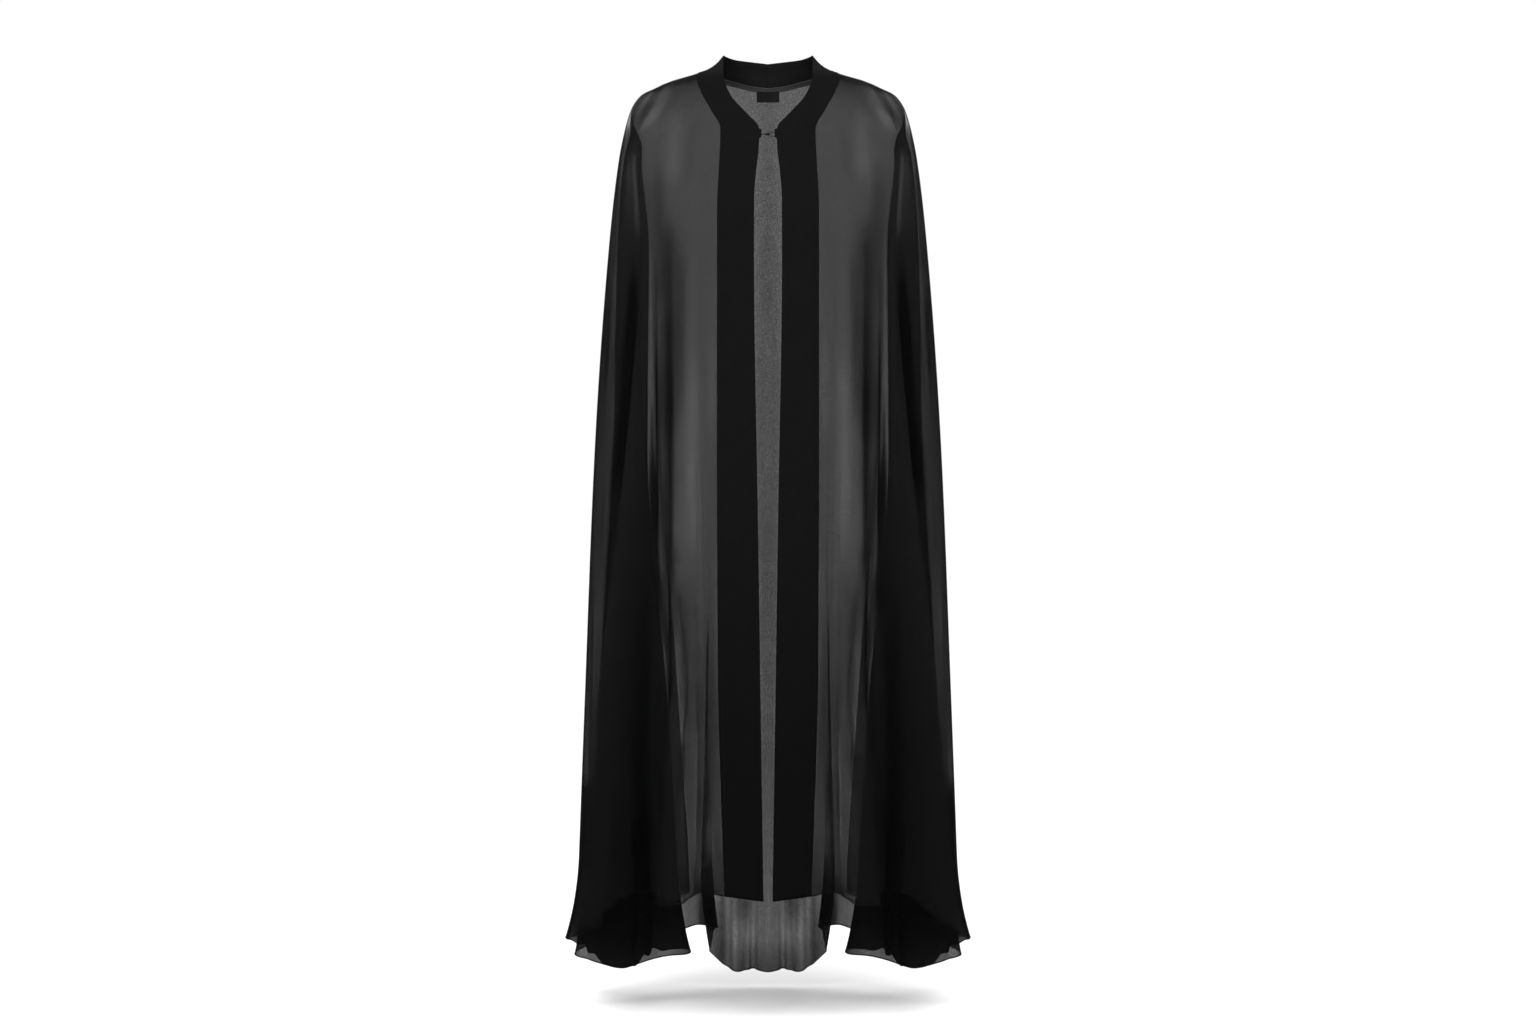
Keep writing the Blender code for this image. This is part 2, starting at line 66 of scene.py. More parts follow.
# The CAD part's rows, which the band's table counts in
CAD_ROLL_ROWS = 5
CAD_FALL_ROWS = 12

# Top edge, centimetres: shoulder tip, neck point and centre back of the neck
SHOULDER_TIP = (20.85, 0.0, -1.45)
NECK_POINT = (11.0, 0.8, 1.5)
NECK_BACK = (0.0, 7.5, 0.05)
NECK_DIP_POWER = 6
NECK_ROLL = 0.35

# The shoulder tip is rounded off by moving the cloth round it in and down, in centimetres
TIP_MOVE = (-0.5, 0.0, -0.55)
TIP_REACH = 2.6

# Near the shoulder the folds behind the arm close up against the arm seam
CLOSED_WIDTH = 0.04
CLOSED_TO, OPEN_FROM = 0.02, 0.075

# A patch of the chest that shows which way the cloth faces
CHEST_ROWS = (WAIST, WAIST + 0.01)
CHEST_FOLDS = (0.4, 0.6)

# Share of a crease over which either end fades out
FADING_END = 0.28

# Places along the band where its free edge steps out and back for the clasp
CLASP_TAB = (4.44, 4.50, 4.53, 4.56, 4.96, 4.99, 5.02)

# Refractive indices: cloth has next to no sheen, satin and lacquer a little
FAINT_SHEEN, SATIN_SHEEN = 1.03, 1.12

# Metres below the neck from which painted shade darkens the cloth towards the floor, where the light falls
# off, and over which it does
DIM_FROM, DIM_REACH = 0.55, 0.70

LABEL_WIDTH = 38.0 * MM
LABEL_HEIGHT = 18.0 * MM

# Part of a fold line past centre back, to find the tape's direction there
PAST_CENTRE = 0.04


class FoldLine(NamedTuple):
    """One fold line of the sheer cloth, in centimetres.

    top: place on the top edge, 0 shoulder tip, 1 neck point, 2 centre back of the neck.
    out: distance from the middle plane at yoke, bust, waist, knee and hem.
    back: distance behind the neck's base at the same heights, negative in front.
    hem: height of the hem.
    kick: how far the hem's last stretch turns outwards.
    """
    name: str
    top: float
    out: tuple
    back: tuple
    hem: float
    kick: float


FRONT_LINES = tuple(FoldLine(*row) for row in (
    ("band_edge", 1, (7.7, 8.2, 8.2, 8.05, 6.95), (-8.8, -11.5, -12.5, -14, -16), -133.2, 0),
    ("chest_valley", 0.78, (11.1, 11, 11, 10.5, 10.6), (-8.6, -11.6, -12.2, -12.6, -13.5), -132.9, 0),
    ("flute", 0.62, (14, 13.9, 13.5, 12.9, 13.9), (-8.1, -11.2, -12.8, -15, -17.5), -134.2, 0),
    ("flute_edge", 0.5, (16.5, 16.8, 16.6, 16.1, 17.6), (-7.3, -10.4, -11.8, -14, -16), -134.6, 0.2),
    ("flute_under", 0.45, (18.3, 18.5, 18, 15, 12.5), (-6.4, -9.2, -10.4, -11.2, -11.8), -133, 0),
    ("deep_valley", 0.38, (20, 19.5, 19, 20, 20.1), (-5.6, -8, -8.4, -7.8, -6), -133.8, 0),
    ("side_flute_root", 0.32, (20.8, 20.1, 20.3, 22.5, 22.4), (-5, -7.4, -8.8, -9.8, -10), -133.5, 0),
    ("side_flute", 0.26, (21.4, 20.6, 21.7, 25.2, 25.9), (-4.4, -7, -8.8, -11.2, -13), -135.9, 0),
    ("side_flute_edge", 0.2, (21.9, 20.7, 23.05, 27.8, 31), (-3.4, -5.6, -6.6, -6.8, -5.5), -140.7, 0.8),
    ("side_flute_under", 0.15, (22.4, 20.8, 21.3, 24.3, 27.2), (-2.6, -4.4, -4.8, -4, -3), -140.1, 0.2),
    ("arm_strip", 0.09, (23.8, 24.2, 26.5, 28.9, 30.5), (-1.5, -2.6, -3, -2.6, -2), -141.6, 1),
    ("arm_seam", 0, (24.65, 26.3, 28.7, 30.4, 31.9), (0, 0, 0, 0, 0.5), -142.5, 1.7),
))

BACK_LINES = tuple(FoldLine(*row) for row in (
    ("near_1", 0.04, (24.35, 25.6, 27.6, 29.3, 30.1), (1, 1.4, 1.8, 2, 2), -143.9, 0.6),
    ("near_2", 0.08, (24, 24.6, 26.3, 27, 28.1), (1.4, 1.8, 2.4, 3, 3.5), -146.5, 0.2),
    ("near_3", 0.12, (23.5, 23.7, 25, 24.5, 23.3), (1.8, 2.1, 2.4, 2.4, 2), -147.8, 0),
    ("near_4", 0.16, (23.2, 22.7, 23.5, 22.4, 20.6), (2.1, 2.5, 3.2, 4, 4.5), -145.9, 0),
    ("near_5", 0.2, (22.1, 21.2, 21.9, 19.9, 17.6), (2.4, 2.8, 3.4, 3.8, 3.2), -144.6, 0),
    ("inner_edge", 0.24, (21.1, 19.98, 20.22, 16.8, 14.3), (2.9, 3.6, 4.6, 5.8, 6.5), -145.8, -1.3),
    ("far_1", 0.29, (22.3, 21.6, 21.5, 19.9, 19.1), (3.5, 4.6, 6, 7.8, 8.8), -147.2, 0),
    ("far_2", 0.33, (23.2, 23, 23.2, 23.3, 24.8), (3.9, 5.2, 6.8, 9, 10.5), -149.1, 0),
    ("far_3", 0.37, (23.6, 24.2, 24.9, 26.5, 28.9), (4.2, 5.4, 6.8, 8.4, 9.2), -147.9, 0.2),
    ("outer_edge", 0.42, (24.1, 25.3, 26.2, 29, 32.3), (4.8, 6.2, 7.8, 10, 12), -147, 0.4),
    ("back_1", 0.52, (22.8, 23.8, 24.7, 26.8, 28.8), (5.8, 7.6, 9.6, 12.4, 15), -144.9, 0),
    ("back_2", 0.67, (20.5, 20.3, 20.7, 21.5, 22), (6.9, 8.6, 10.4, 13.4, 16.8), -144.9, 0),
    ("back_3", 0.84, (16.9, 16.3, 16.2, 16.1, 15.2), (7.8, 9.4, 11.4, 15, 19.5), -143.9, 0),
    ("back_4", 1, (13.5, 12.9, 12.4, 12, 11.7), (8.4, 9.8, 11.6, 14.8, 18.6), -143, 0),
    ("train_under", 1.18, (11, 10.5, 10.2, 10.2, 9.6), (8.7, 10, 11.9, 15.5, 20.3), -143.7, -0.5),
    ("train_edge", 1.3, (9.6, 9.5, 9.7, 10.7, 12.2), (9, 10.3, 12.3, 16.4, 22.2), -147.4, -2.1),
    ("train_1", 1.46, (7.6, 7.6, 7.8, 8.1, 8.2), (9.2, 10.5, 12.7, 17.2, 23.6), -150.3, 0),
    ("train_2", 1.66, (4.7, 4.8, 4.9, 5, 5.2), (9.3, 10.5, 12.4, 16.4, 22), -151.7, 0),
    ("train_3", 1.84, (2.4, 2.4, 2.6, 2.6, 2.8), (9.4, 10.6, 12.7, 17.2, 24), -151.5, 0),
    ("centre_back", 2, (0, 0, 0, 0, 0), (9.5, 10.6, 12.5, 16.7, 22.8), -151.9, 0),
))

# Fold lines where two pieces meet or where a fold turns
LINE_NAMES = [line.name for line in FRONT_LINES + BACK_LINES]
ARM_SEAM, OUTER_EDGE, NECK_LINE, TRAIN_UNDER, CENTRE_BACK = (
    LINE_NAMES.index(name) for name in ("arm_seam", "outer_edge", "back_4", "train_under", "centre_back"))

# Where the band's seam runs on the shoulder, at the four rows between neck point and yoke
NECK_SEAM_OUT = (11.5, 11.6, 10.9, 9.3)


class BandStation(NamedTuple):
    """The band's free edge beside one place on its seam, in centimetres.

    row: place on the seam, in rows of the front panel, negative behind the neck point.
    out, back, height: the free edge.
    """
    row: float
    out: float
    back: float
    height: float


BAND_STATIONS = tuple(BandStation(*row) for row in (
    (-1, 0, 6.2, 3.8),
    (-0.5, 5.3, 4.35, 4.15),
    (0, 7.3, 0, 4.2),
    (1, 7.42, -1.8, 2.1),
    (2, 7.2, -3.9, -0.4),
    (3, 6.1, -5.9, -3.3),
    (4, 3.1, -8, -6.9),
    (4.44, 1.58, -8.84, -8.72),
    (4.5, 1.46, -8.92, -9.14),
    (4.56, 1.06, -8.98, -9.28),
    (4.96, 1.06, -9.3, -10.6),
    (5.02, 1.4, -9.36, -10.76),
    (5.3, 1.53, -9.7, -12.8),
    (5.62, 1.92, -10.4, -16.2),
    (6, 2.24, -11.2, -20.8),
    (7, 2.26, -11.8, -30.6),
    (11, 1.64, -13.3, -72),
    (14, 1.17, -14.9, -103),
    (17, 0.72, -16.4, -134),
))


class Crease(NamedTuple):
    """A soft ridge or trough laid on a panel.

    start, end: its fold line at its upper and lower end, counted along the half from the band.
    top, bottom: its ends, as shares of the way to the hem.
    width: half its width in centimetres.
    height: how far it stands out in millimetres, negative for a trough.
    gather: how much denser the cloth looks along it; where it is positive, painted shade also darkens the
    cloth's colour along it.
    """
    start: float
    end: float
    top: float
    bottom: float
    width: float
    height: float
    gather: float


CREASES = tuple(Crease(*row) for row in (
    # Front, from the shoulder down
    (5.2, 4.8, -0.06, 0.09, 2.6, 1, -0.34),
    (3.1, 3.1, 0.12, 0.52, 2.6, 0, 0.5),
    (2.43, 2.56, 0.03, 0.145, 1.4, 1.2, -0.5),
    (1.12, 2, 0.05, 0.15, 0.8, -1.8, 0.22),
    (4.07, 2.9, 0.092, 0.312, 1.7, -1.6, 0.75),
    (2.65, 2.72, 0.165, 0.35, 0.8, -1.2, 1.1),
    (2.72, 2.81, 0.28, 0.7, 0.7, -1.8, 2.5),
    (3, 2.9, 0.64, 0.78, 0.8, -2, 2.2),
    (1.94, 2.36, 0.198, 0.44, 0.7, -1.6, 0.75),
    (3.91, 4.65, 0.3, 0.59, 0.5, -2, 3),
    (4.75, 4.55, 0.44, 0.69, 0.7, -1.6, 3),
    (3.33, 4.48, 0.315, 0.71, 0.8, 1.2, 1.2),
    (1.49, 1.68, 0.31, 0.64, 1.5, 2.4, -0.66),
    (0.24, 0.35, 0.312, 0.47, 0.8, 0.8, -0.36),
    (0.6, 0.6, 0.06, 0.3, 3, 0, 0.12),
    (4.6, 5.14, 0.17, 0.49, 0.4, 1.4, -0.52),
    (4.9, 4.76, 0.38, 0.6, 0.4, 0, 1.7),
    (3.3, 3.3, 0.47, 0.61, 0.9, 0, 0.8),
    (2.7, 2.7, 0.27, 0.46, 1.1, 0, 0.9),
    (2.75, 2.62, 0.14, 0.6, 1.2, 0, 0.5),
    (2.3, 2.3, 0.17, 0.36, 0.5, 0, 0.6),
    (3.84, 3.8, 0.23, 0.35, 0.4, 0, 0.7),
    (2.52, 2.54, 0.55, 0.71, 0.8, 0, 1.1),
    (4.3, 4.42, 0.65, 0.79, 0.5, 0, 2.6),
    (4.45, 4.45, 0.6, 0.72, 0.9, 0, 1.4),
    (3.5, 3.6, 0.76, 1.3, 1.2, 0, 1.2),
    (2.11, 2.05, 0.8, 0.87, 0.3, 0, 1.5),
    (1.38, 1.38, 0.77, 0.99, 0.6, 0, -0.95),
    (1, 1, 0.7, 0.98, 0.6, 0, 0.4),
    (0.25, 0.25, 0.68, 1.1, 1.2, 0, 0.6),
    (0.35, 0.35, 0.9, 1.3, 1.2, 0, 0.5),
    (9.8, 9.72, 0.38, 0.69, 0.4, 0, 1.7),
    (9, 7.6, -0.03, 0.078, 1.4, 0, -0.66),
    (9.45, 9.66, 0.18, 0.51, 0.7, 0, 4.2),
    # Front, below the knee
    (2.3, 2.09, 0.6, 0.8, 0.8, -1, 1.1),
    (2.46, 1.96, 0.615, 0.758, 0.2, -0.9, 1),
    (1.97, 2.35, 0.735, 0.883, 0.3, -1.4, 1.5),
    (1, 1.2, 0.58, 1.3, 2.6, -1, 0.8),
    (1.1, 1.1, 0.74, 0.96, 0.7, -1.8, 0.1),
    (2.85, 2.8, 0.64, 0.9, 0.9, -1, 1.6),
    (1.1, 1.3, 0.975, 1.06, 2.3, 0.8, 1.2),
    (0.15, 0.15, 0.64, 1.2, 0.7, 0.8, 0.25),
    # Side flute and the strip along the arm
    (7.3, 7.1, 0.055, 0.225, 0.5, 1, -0.55),
    (8.9, 8.9, 0.05, 0.205, 0.9, 0, -0.7),
    (6.6, 6.4, 0.3, 0.72, 0.5, 1.2, -0.1),
    (5.6, 5.4, 0.55, 1.08, 1.6, -2.4, 0.4),
    (4.95, 4.9, 0.5, 1.3, 1.6, 0, 2.8),
    (7.1, 7.2, 0.64, 1.02, 0.8, 1.6, 0.1),
    (9.3, 9.3, 0.2, 0.64, 2.3, 0, 3.6),
    (10.63, 9.71, 0.12, 0.795, 2.3, 0, 0.8),
    (10.53, 10.36, 0.23, 0.372, 0.5, -1.2, 1.2),
    (9.89, 9.74, 0.605, 1.2, 1.6, -1, 2),
    (9.6, 9.6, 0.78, 1.3, 2.6, 0, 1.4),
    (8.4, 8.2, 0.76, 1.3, 2, 0, 1.2),
    # Side of the back
    (15.9, 15.6, 0.045, 0.205, 0.95, 0.6, -0.85),
    (18, 18.3, 0.045, 0.185, 0.95, -0.6, -0.85),
    (17, 17, 0.1, 0.26, 0.25, 0, 1.2),
    (13.4, 13.6, 0.3, 1.02, 0.6, -1.5, 0.1),
    (15.5, 15.4, 0.4, 1.02, 0.7, 1.6, 0.1),
    (14.9, 14.9, 0.8, 1.025, 15, 0, 2.6),
    (18.3, 18.5, 0.24, 0.86, 0.7, -1.6, 0.12),
    (20.4, 20.6, 0.34, 1.02, 0.7, 1.8, 0.1),
    # Back, from the shoulder blade to the centre seam
    (22.6, 22.5, 0.12, 0.52, 1.1, 2.4, 0.08),
    (21.8, 22.3, -0.03, 0.062, 2.4, 0, -0.26),
    (21.4, 21.5, -0.03, 0.085, 1.1, 0, -0.34),
    # Below the shoulder tip, before and behind the arm seam
    (13.9, 13.9, 0.066, 0.19, 1, 0, -0.5),
    (10.5, 10.4, 0.09, 0.24, 0.35, 0, 0.45),
    (12.1, 12.1, 0.07, 0.23, 0.6, 0, 0.36),
    # Rest of the back
    (20.2, 20.2, 0.066, 0.19, 1.5, 0, -0.5),
    (24.5, 24.5, 0.9, 1.12, 2.6, 0, 0.26),
    (27.9, 27.9, 0.9, 1.15, 1.6, 0, 0.28),
    (30, 30, 0.96, 1.06, 6, 0, 0.22),
    (25.9, 25.9, 0.68, 0.96, 0.5, 0, -0.4),
    (26.5, 26.5, 0.74, 0.945, 2.2, 0, -0.78),
    (25.6, 25.7, 0.83, 0.945, 0.7, 0, -0.45),
    (27.4, 27.4, 0.83, 0.945, 0.7, 0, -0.45),
    (25.15, 25.15, 0.935, 1.1, 0.7, 0, 1),
    (22.3, 22.4, 0.5, 1.02, 0.9, -2.4, 0.14),
    (23.4, 23.5, 0.16, 0.66, 1, -2.2, 0.12),
    (23.7, 23.6, 0.58, 1.02, 0.8, 2, 0.08),
    (24.5, 24.4, 0.1, 0.44, 1.1, 2, 0.06),
    (24.6, 24.5, 0.46, 1.02, 0.9, -2.8, 0.16),
    (25.5, 25.6, 0.14, 0.8, 0.8, 1.8, 0.08),
    (26.6, 26.5, 0.64, 0.965, 1.6, 0, -0.85),
    (27.4, 27.5, 0.2, 1.02, 0.6, -1.4, 0.1),
    (27.5, 27.8, 0.88, 1.2, 1.3, 0.8, 0.22),
    (28.5, 28.4, 0.12, 0.58, 0.8, 1.6, 0.05),
    (29.4, 29.5, 0.4, 1.02, 0.7, -1.2, -0.06),
    (29.1, 29.1, 0.8, 1.1, 0.5, 0, 0.18),
    (29.3, 29.3, 0.83, 0.957, 2.2, 0, 0.38),
    (28, 28.2, 0.84, 1.1, 0.8, 0, 0.32),
    (30.5, 30.4, 0.18, 0.72, 0.7, 1.4, 0.05),
    (30.6, 30.7, 0.66, 1.02, 0.6, -1.8, 0.1),
    (31, 31, -0.02, 0.3, 1.6, 0, 0.1),
    (31, 31, 0.06, 1.2, 2.4, 0, 0.16),
    (31, 31, 0.4, 0.97, 1.2, 0, 0.12),
))


class Side(Enum):
    """The two halves of the garment, with the sign of +X on each."""
    LEFT = -1
    RIGHT = 1

    @property
    def word(self) -> str:
        """The half's name in the names of its pieces."""
        return self.name.lower()


class Wave(NamedTuple):
    """An uneven wave: a sine whose phase swings as a second sine.

    pace: the first sine's pace, in radians for each step.
    swing: how far the phase swings, in radians.
    swing_pace: the second sine's pace.
    """
    pace: float
    swing: float
    swing_pace: float

    def at(self, place: np.ndarray, across: np.ndarray) -> np.ndarray:
        """The wave along one distance, with its swing along the same or another."""
        return np.sin(place * self.pace + self.swing * np.sin(across * self.swing_pace))


def smooth_through(knots: np.ndarray, values: np.ndarray, places: np.ndarray) -> np.ndarray:
    """Curve through rows of values that never swings past a row.

    Between two rows it is the cubic whose slopes are the weighted harmonic mean of the
    neighbouring straight slopes, or nought at a turning point.

    Args:
        knots: where the rows lie, rising.
        values: one row of numbers for each knot.
        places: where the curve is wanted.

    Returns:
        One row for each place.
    """
    knots = np.asarray(knots, float)
    values = np.asarray(values, float)
    shape = (-1,) + (1,) * (values.ndim - 1)
    step = np.diff(knots).reshape(shape)
    slope = np.diff(values, axis=0) / step
    before, after = slope[:-1], slope[1:]
    weight_a = 2 * step[1:] + step[:-1]
    weight_b = step[1:] + 2 * step[:-1]
    same = before * after > 0
    safe_before = np.where(same, before, 1.0)
    safe_after = np.where(same, after, 1.0)
    mean = (weight_a + weight_b) / (weight_a / safe_before + weight_b / safe_after)
    tangent = np.concatenate([slope[:1], np.where(same, mean, 0.0), slope[-1:]])
    index = np.clip(np.searchsorted(knots, places, side="right") - 1, 0, len(knots) - 2)
    width = (knots[index + 1] - knots[index]).reshape(shape)
    t = (np.asarray(places, float) - knots[index]).reshape(shape) / width
    return (
        values[index] * (2 * t**3 - 3 * t**2 + 1)
        + tangent[index] * width * (t**3 - 2 * t**2 + t)
        + values[index + 1] * (3 * t**2 - 2 * t**3)
        + tangent[index + 1] * width * (t**3 - t**2)
    )


def unit(vectors: np.ndarray) -> np.ndarray:
    """Vectors made one long."""
    return vectors / np.maximum(np.linalg.norm(vectors, axis=-1, keepdims=True), TINY)


def surface_normals(points: np.ndarray) -> np.ndarray:
    """Normals of a grid of points: the cross product of its two directions."""
    return unit(np.cross(np.gradient(points, axis=1), np.gradient(points, axis=0)))


def rising(share: np.ndarray) -> np.ndarray:
    """A soft step from 0 at share 0 to 1 at share 1: three squares less two cubes."""
    s = np.clip(share, 0, 1)
    return s * s * (3 - 2 * s)


def fading_ends(share: np.ndarray) -> np.ndarray:
    """1 along the middle, falling softly to 0 at shares 0 and 1."""
    return rising(share / FADING_END) * rising((1 - share) / FADING_END)


def fall_shares(roll: int, fall: int) -> np.ndarray:
    """Rows as shares of the way to the hem: steps on the shoulder's quarter round, then even ones."""
    turn = np.linspace(0, np.pi / 2, roll + 1)
    return np.concatenate([(1 - np.cos(turn)) * YOKE, np.linspace(YOKE, HEM, fall + 1)[1:]])


def arc_lengths(points: np.ndarray, axis: int) -> np.ndarray:
    """Length along a grid's rows or columns: the sum of its steps.

    Args:
        points: a path, or a grid of points.
        axis: the direction to follow.

    Returns:
        Metres from the first point, for each point.
    """
    steps = np.linalg.norm(np.diff(points, axis=axis), axis=-1)
    start = np.zeros_like(np.take(steps, [0], axis=axis))
    return np.concatenate([start, np.cumsum(steps, axis=axis)], axis=axis)


class ClothPatch(NamedTuple):
    """A panel's grid: points, outward normals and how gathered it looks."""
    points: np.ndarray
    normals: np.ndarray
    gather: np.ndarray


@dataclass(frozen=True)
class ClothForm:
    """The surface of one half's sheer cloth, the ring of fold lines from the band to centre back.

    roll_steps, fall_steps: rows on the shoulder's quarter round and below it.
    front_steps, back_steps: columns between two fold lines.
    ripple, ripple_wave, ripple_slant: finest ripples, a wave times a slanting sine.
    edge_start, edge_reach: where the stretch above the hem begins, and its share of the fall.
    edge_ripple, edge_wave: how that stretch waves in and out.
    edge_calm, calm_reach: how much less it does so along the train, and over how many fold lines.
    near_lift, near_wave: how the hem behind the arm waves up and down.
    near_ends: fold lines over which that wave fades, and where it ends before the outer edge.
    seam_hold: how quickly creases rise from a seam.
    """
    roll_steps: int = 36
    fall_steps: int = 168
    front_steps: int = 16
    back_steps: int = 11
    ripple: float = 1.6 * MM
    ripple_wave: Wave = Wave(9.1, 2.1, 5.0)
    ripple_slant: tuple = (2.3, 7.0, 1.0)
    edge_start: float = 0.93
    edge_reach: float = 0.07
    edge_ripple: float = 3.0 * MM
    edge_wave: Wave = Wave(6.7, 1.3, 1.7)
    edge_calm: float = 0.7
    calm_reach: float = 2.0
    near_lift: float = 4.5 * MM
    near_wave: Wave = Wave(6.9, 1.4, 2.1)
    near_ends: tuple = (1.5, 3.5)
    seam_hold: float = 2.5

    def top_point(self, share: float) -> tuple:
        """Place on the top edge: the straight shoulder, then the neck's quarter oval.

        Args:
            share: 0 at the shoulder tip, 1 at the neck point and 2 at centre back.

        Returns:
            The place in centimetres.
        """
        if share <= 1.0:
            return tuple(a + (b - a) * share for a, b in zip(SHOULDER_TIP, NECK_POINT))
        turn = (share - 1.0) * np.pi / 2
        out = NECK_POINT[0] * np.cos(turn)
        back = NECK_POINT[1] + (NECK_BACK[1] - NECK_POINT[1]) * np.sin(turn)
        dip = np.sin(turn) ** NECK_DIP_POWER
        return out, back, NECK_POINT[2] + (NECK_BACK[2] - NECK_POINT[2]) * dip

    def fold_line(self, line: FoldLine, rows: np.ndarray) -> np.ndarray:
        """Points of one fold line: a quarter round off the top edge, then the smooth curve
        through its places at bust, waist, knee and hem.

        Args:
            line: the row of the table.
            rows: shares of the way to the hem.

        Returns:
            One point for each row, in metres.
        """
        turn = np.linspace(0, np.pi / 2, CAD_ROLL_ROWS + 1)
        drop, reach = 1 - np.cos(turn), np.sin(turn)
        top = self.top_point(line.top)
        roll = 1 - (1 - NECK_ROLL) * np.clip(line.top - 1, 0, 1)
        out = top[0] + (line.out[0] - top[0]) * (drop + reach) / 2
        if line.name == "band_edge":
            out[1:-1] = NECK_SEAM_OUT
        back = top[1] + (line.back[0] - top[1]) * (roll * reach + (1 - roll) * drop)
        knots = np.concatenate([drop * YOKE, [BUST, WAIST, KNEE, HEM]])
        places = np.stack([np.append(out, line.out[1:]), np.append(back, line.back[1:])], axis=1)
        plan = smooth_through(knots, places, rows)
        kick = line.kick * np.clip((rows - KICK_START) / (1 - KICK_START), 0, 1) ** 2
        height = top[2] + rows * (line.hem - top[2])
        return np.stack([plan[:, 0] + kick, plan[:, 1], height], axis=1) * CM

    def guides(self, rows: np.ndarray) -> np.ndarray:
        """All fold lines, with the first one of the other half after centre back.

        The folds behind the arm keep only a share of their distance from the arm seam near the
        top, and a bell round the shoulder tip moves the cloth in and down.

        Args:
            rows: shares of the way to the hem.

        Returns:
            Points, fold lines by rows.
        """
        beyond = self.fold_line(BACK_LINES[-2], rows) * MIRROR
        guides = np.stack([self.fold_line(line, rows) for line in FRONT_LINES + BACK_LINES] + [beyond])
        opened = rising((rows - CLOSED_TO) / (OPEN_FROM - CLOSED_TO))
        width = (CLOSED_WIDTH + (1 - CLOSED_WIDTH) * opened)[:, None]
        hidden = slice(ARM_SEAM + 1, OUTER_EDGE + 1)
        guides[hidden] = guides[ARM_SEAM] + (guides[hidden] - guides[ARM_SEAM]) * width
        away = (guides - np.array(SHOULDER_TIP) * CM) * (1, 0, 1)
        near = np.exp(-np.sum(away**2, axis=-1) / (TIP_REACH * CM) ** 2)
        return guides + near[..., None] * np.array(TIP_MOVE) * CM

    def surface(self, rows: np.ndarray, folds: np.ndarray) -> np.ndarray:
        """Points at rows by folds, smooth across the fold lines."""
        guides = self.guides(rows)
        return smooth_through(np.arange(len(guides)), guides, folds).transpose(1, 0, 2)

    @staticmethod
    def laid_creases(t: np.ndarray, s: np.ndarray, pace: np.ndarray) -> tuple:
        """Adds up the table's creases. Each is a bell across its own line, times a hump along it.

        Args:
            t: rows, at each point of a panel's grid.
            s: fold lines there.
            pace: metres from one fold line to the next there.

        Returns:
            How far the cloth stands out, and how gathered it looks.
        """
        rise, gather = np.zeros_like(t), np.zeros_like(t)
        for crease in CREASES:
            along = (t - crease.top) / (crease.bottom - crease.top)
            middle = crease.start + (crease.end - crease.start) * along
            distance = (s - middle) * pace / (crease.width * CM)
            bell = np.exp(-(distance**2)) * fading_ends(along)
            rise += crease.height * MM * bell
            gather += crease.gather * bell
        return rise, gather

    def creased(self, first: float, last: float) -> ClothPatch:
        """A panel's surface between two fold lines, with its creases and its finest ripples, which
        grow towards the hem and die out at the seams and the top.

        Args:
            first: fold line at its first column.
            last: fold line at its last column.

        Returns:
            The panel's points, its normals and how gathered it looks.
        """
        rows = fall_shares(self.roll_steps, self.fall_steps)
        steps = self.front_steps if last <= ARM_SEAM else self.back_steps
        folds = np.linspace(first, last, int(round((last - first) * steps)) + 1)
        smooth = self.surface(rows, folds)
        normals = self.outward(smooth, folds)
        pace = np.linalg.norm(np.gradient(smooth, axis=1), axis=-1) * steps
        t, s = np.meshgrid(rows, folds, indexing="ij")
        rise, gather = self.laid_creases(t, s, pace)
        low = np.clip((t - BUST) / (1 - BUST), 0, 1)
        across, down, start = self.ripple_slant
        rise += self.ripple * low * self.ripple_wave.at(s, t) * np.sin(s * across + t * down + start)
        edge = np.clip((t - self.edge_start) / self.edge_reach, 0, 1) ** 2
        edge *= 1 - self.edge_calm * rising((s - TRAIN_UNDER) / self.calm_reach)
        rise += self.edge_ripple * edge * self.edge_wave.at(s, s)
        hold = self.seam_hold
        held = np.minimum(np.clip((s - first) * hold, 0, 1), np.clip((last - s) * hold, 0, 1))
        rise *= held * np.clip(t / YOKE, 0, 1)
        points = smooth + normals * rise[..., None]
        fade, short = self.near_ends
        behind_arm = rising((s - ARM_SEAM) / fade) * rising((OUTER_EDGE - short - s) / fade)
        points[..., 2] += self.near_lift * edge * behind_arm * self.near_wave.at(s, s)
        return ClothPatch(points, self.outward(points, folds), gather)

    def outward(self, points: np.ndarray, folds: np.ndarray) -> np.ndarray:
        """Normals that look out of the garment, with those along the seams square to Y.

        Args:
            points: a grid, rows by folds.
            folds: the fold line of each column.

        Returns:
            One normal for each point. Their sense is that in which the chest faces forward.
        """
        normals = surface_normals(points)
        chest = self.surface(np.array(CHEST_ROWS), np.array(CHEST_FOLDS))
        if surface_normals(chest)[0, 0, 1] > 0:
            normals = -normals
        on_shoulder = folds <= NECK_LINE + NEAR
        normals[0, on_shoulder] = self.seam_normals(points[0])[on_shoulder]
        for column in (0, -1):
            if abs(folds[column] - ARM_SEAM) < NEAR:
                normals[1:, column] = self.seam_normals(points[:, column])[1:]
                normals[0, column] = unit(normals[0, column] + normals[1, column])
        return normals

    @staticmethod
    def seam_normals(edge: np.ndarray) -> np.ndarray:
        """Normals of the cloth along the seam over shoulder and arm, square to the seam and to Y."""
        normals = unit(np.cross(np.gradient(edge, axis=0), ALONG_Y))
        return normals * np.sign(np.sum(normals * (1.0, 0.0, 1.0), axis=-1, keepdims=True))


class MeshData(NamedTuple):
    """A closed mesh as arrays: vertices, faces, UVs and named numbers for each vertex."""
    vertices: np.ndarray
    faces: np.ndarray | list
    uv: np.ndarray
    marks: dict


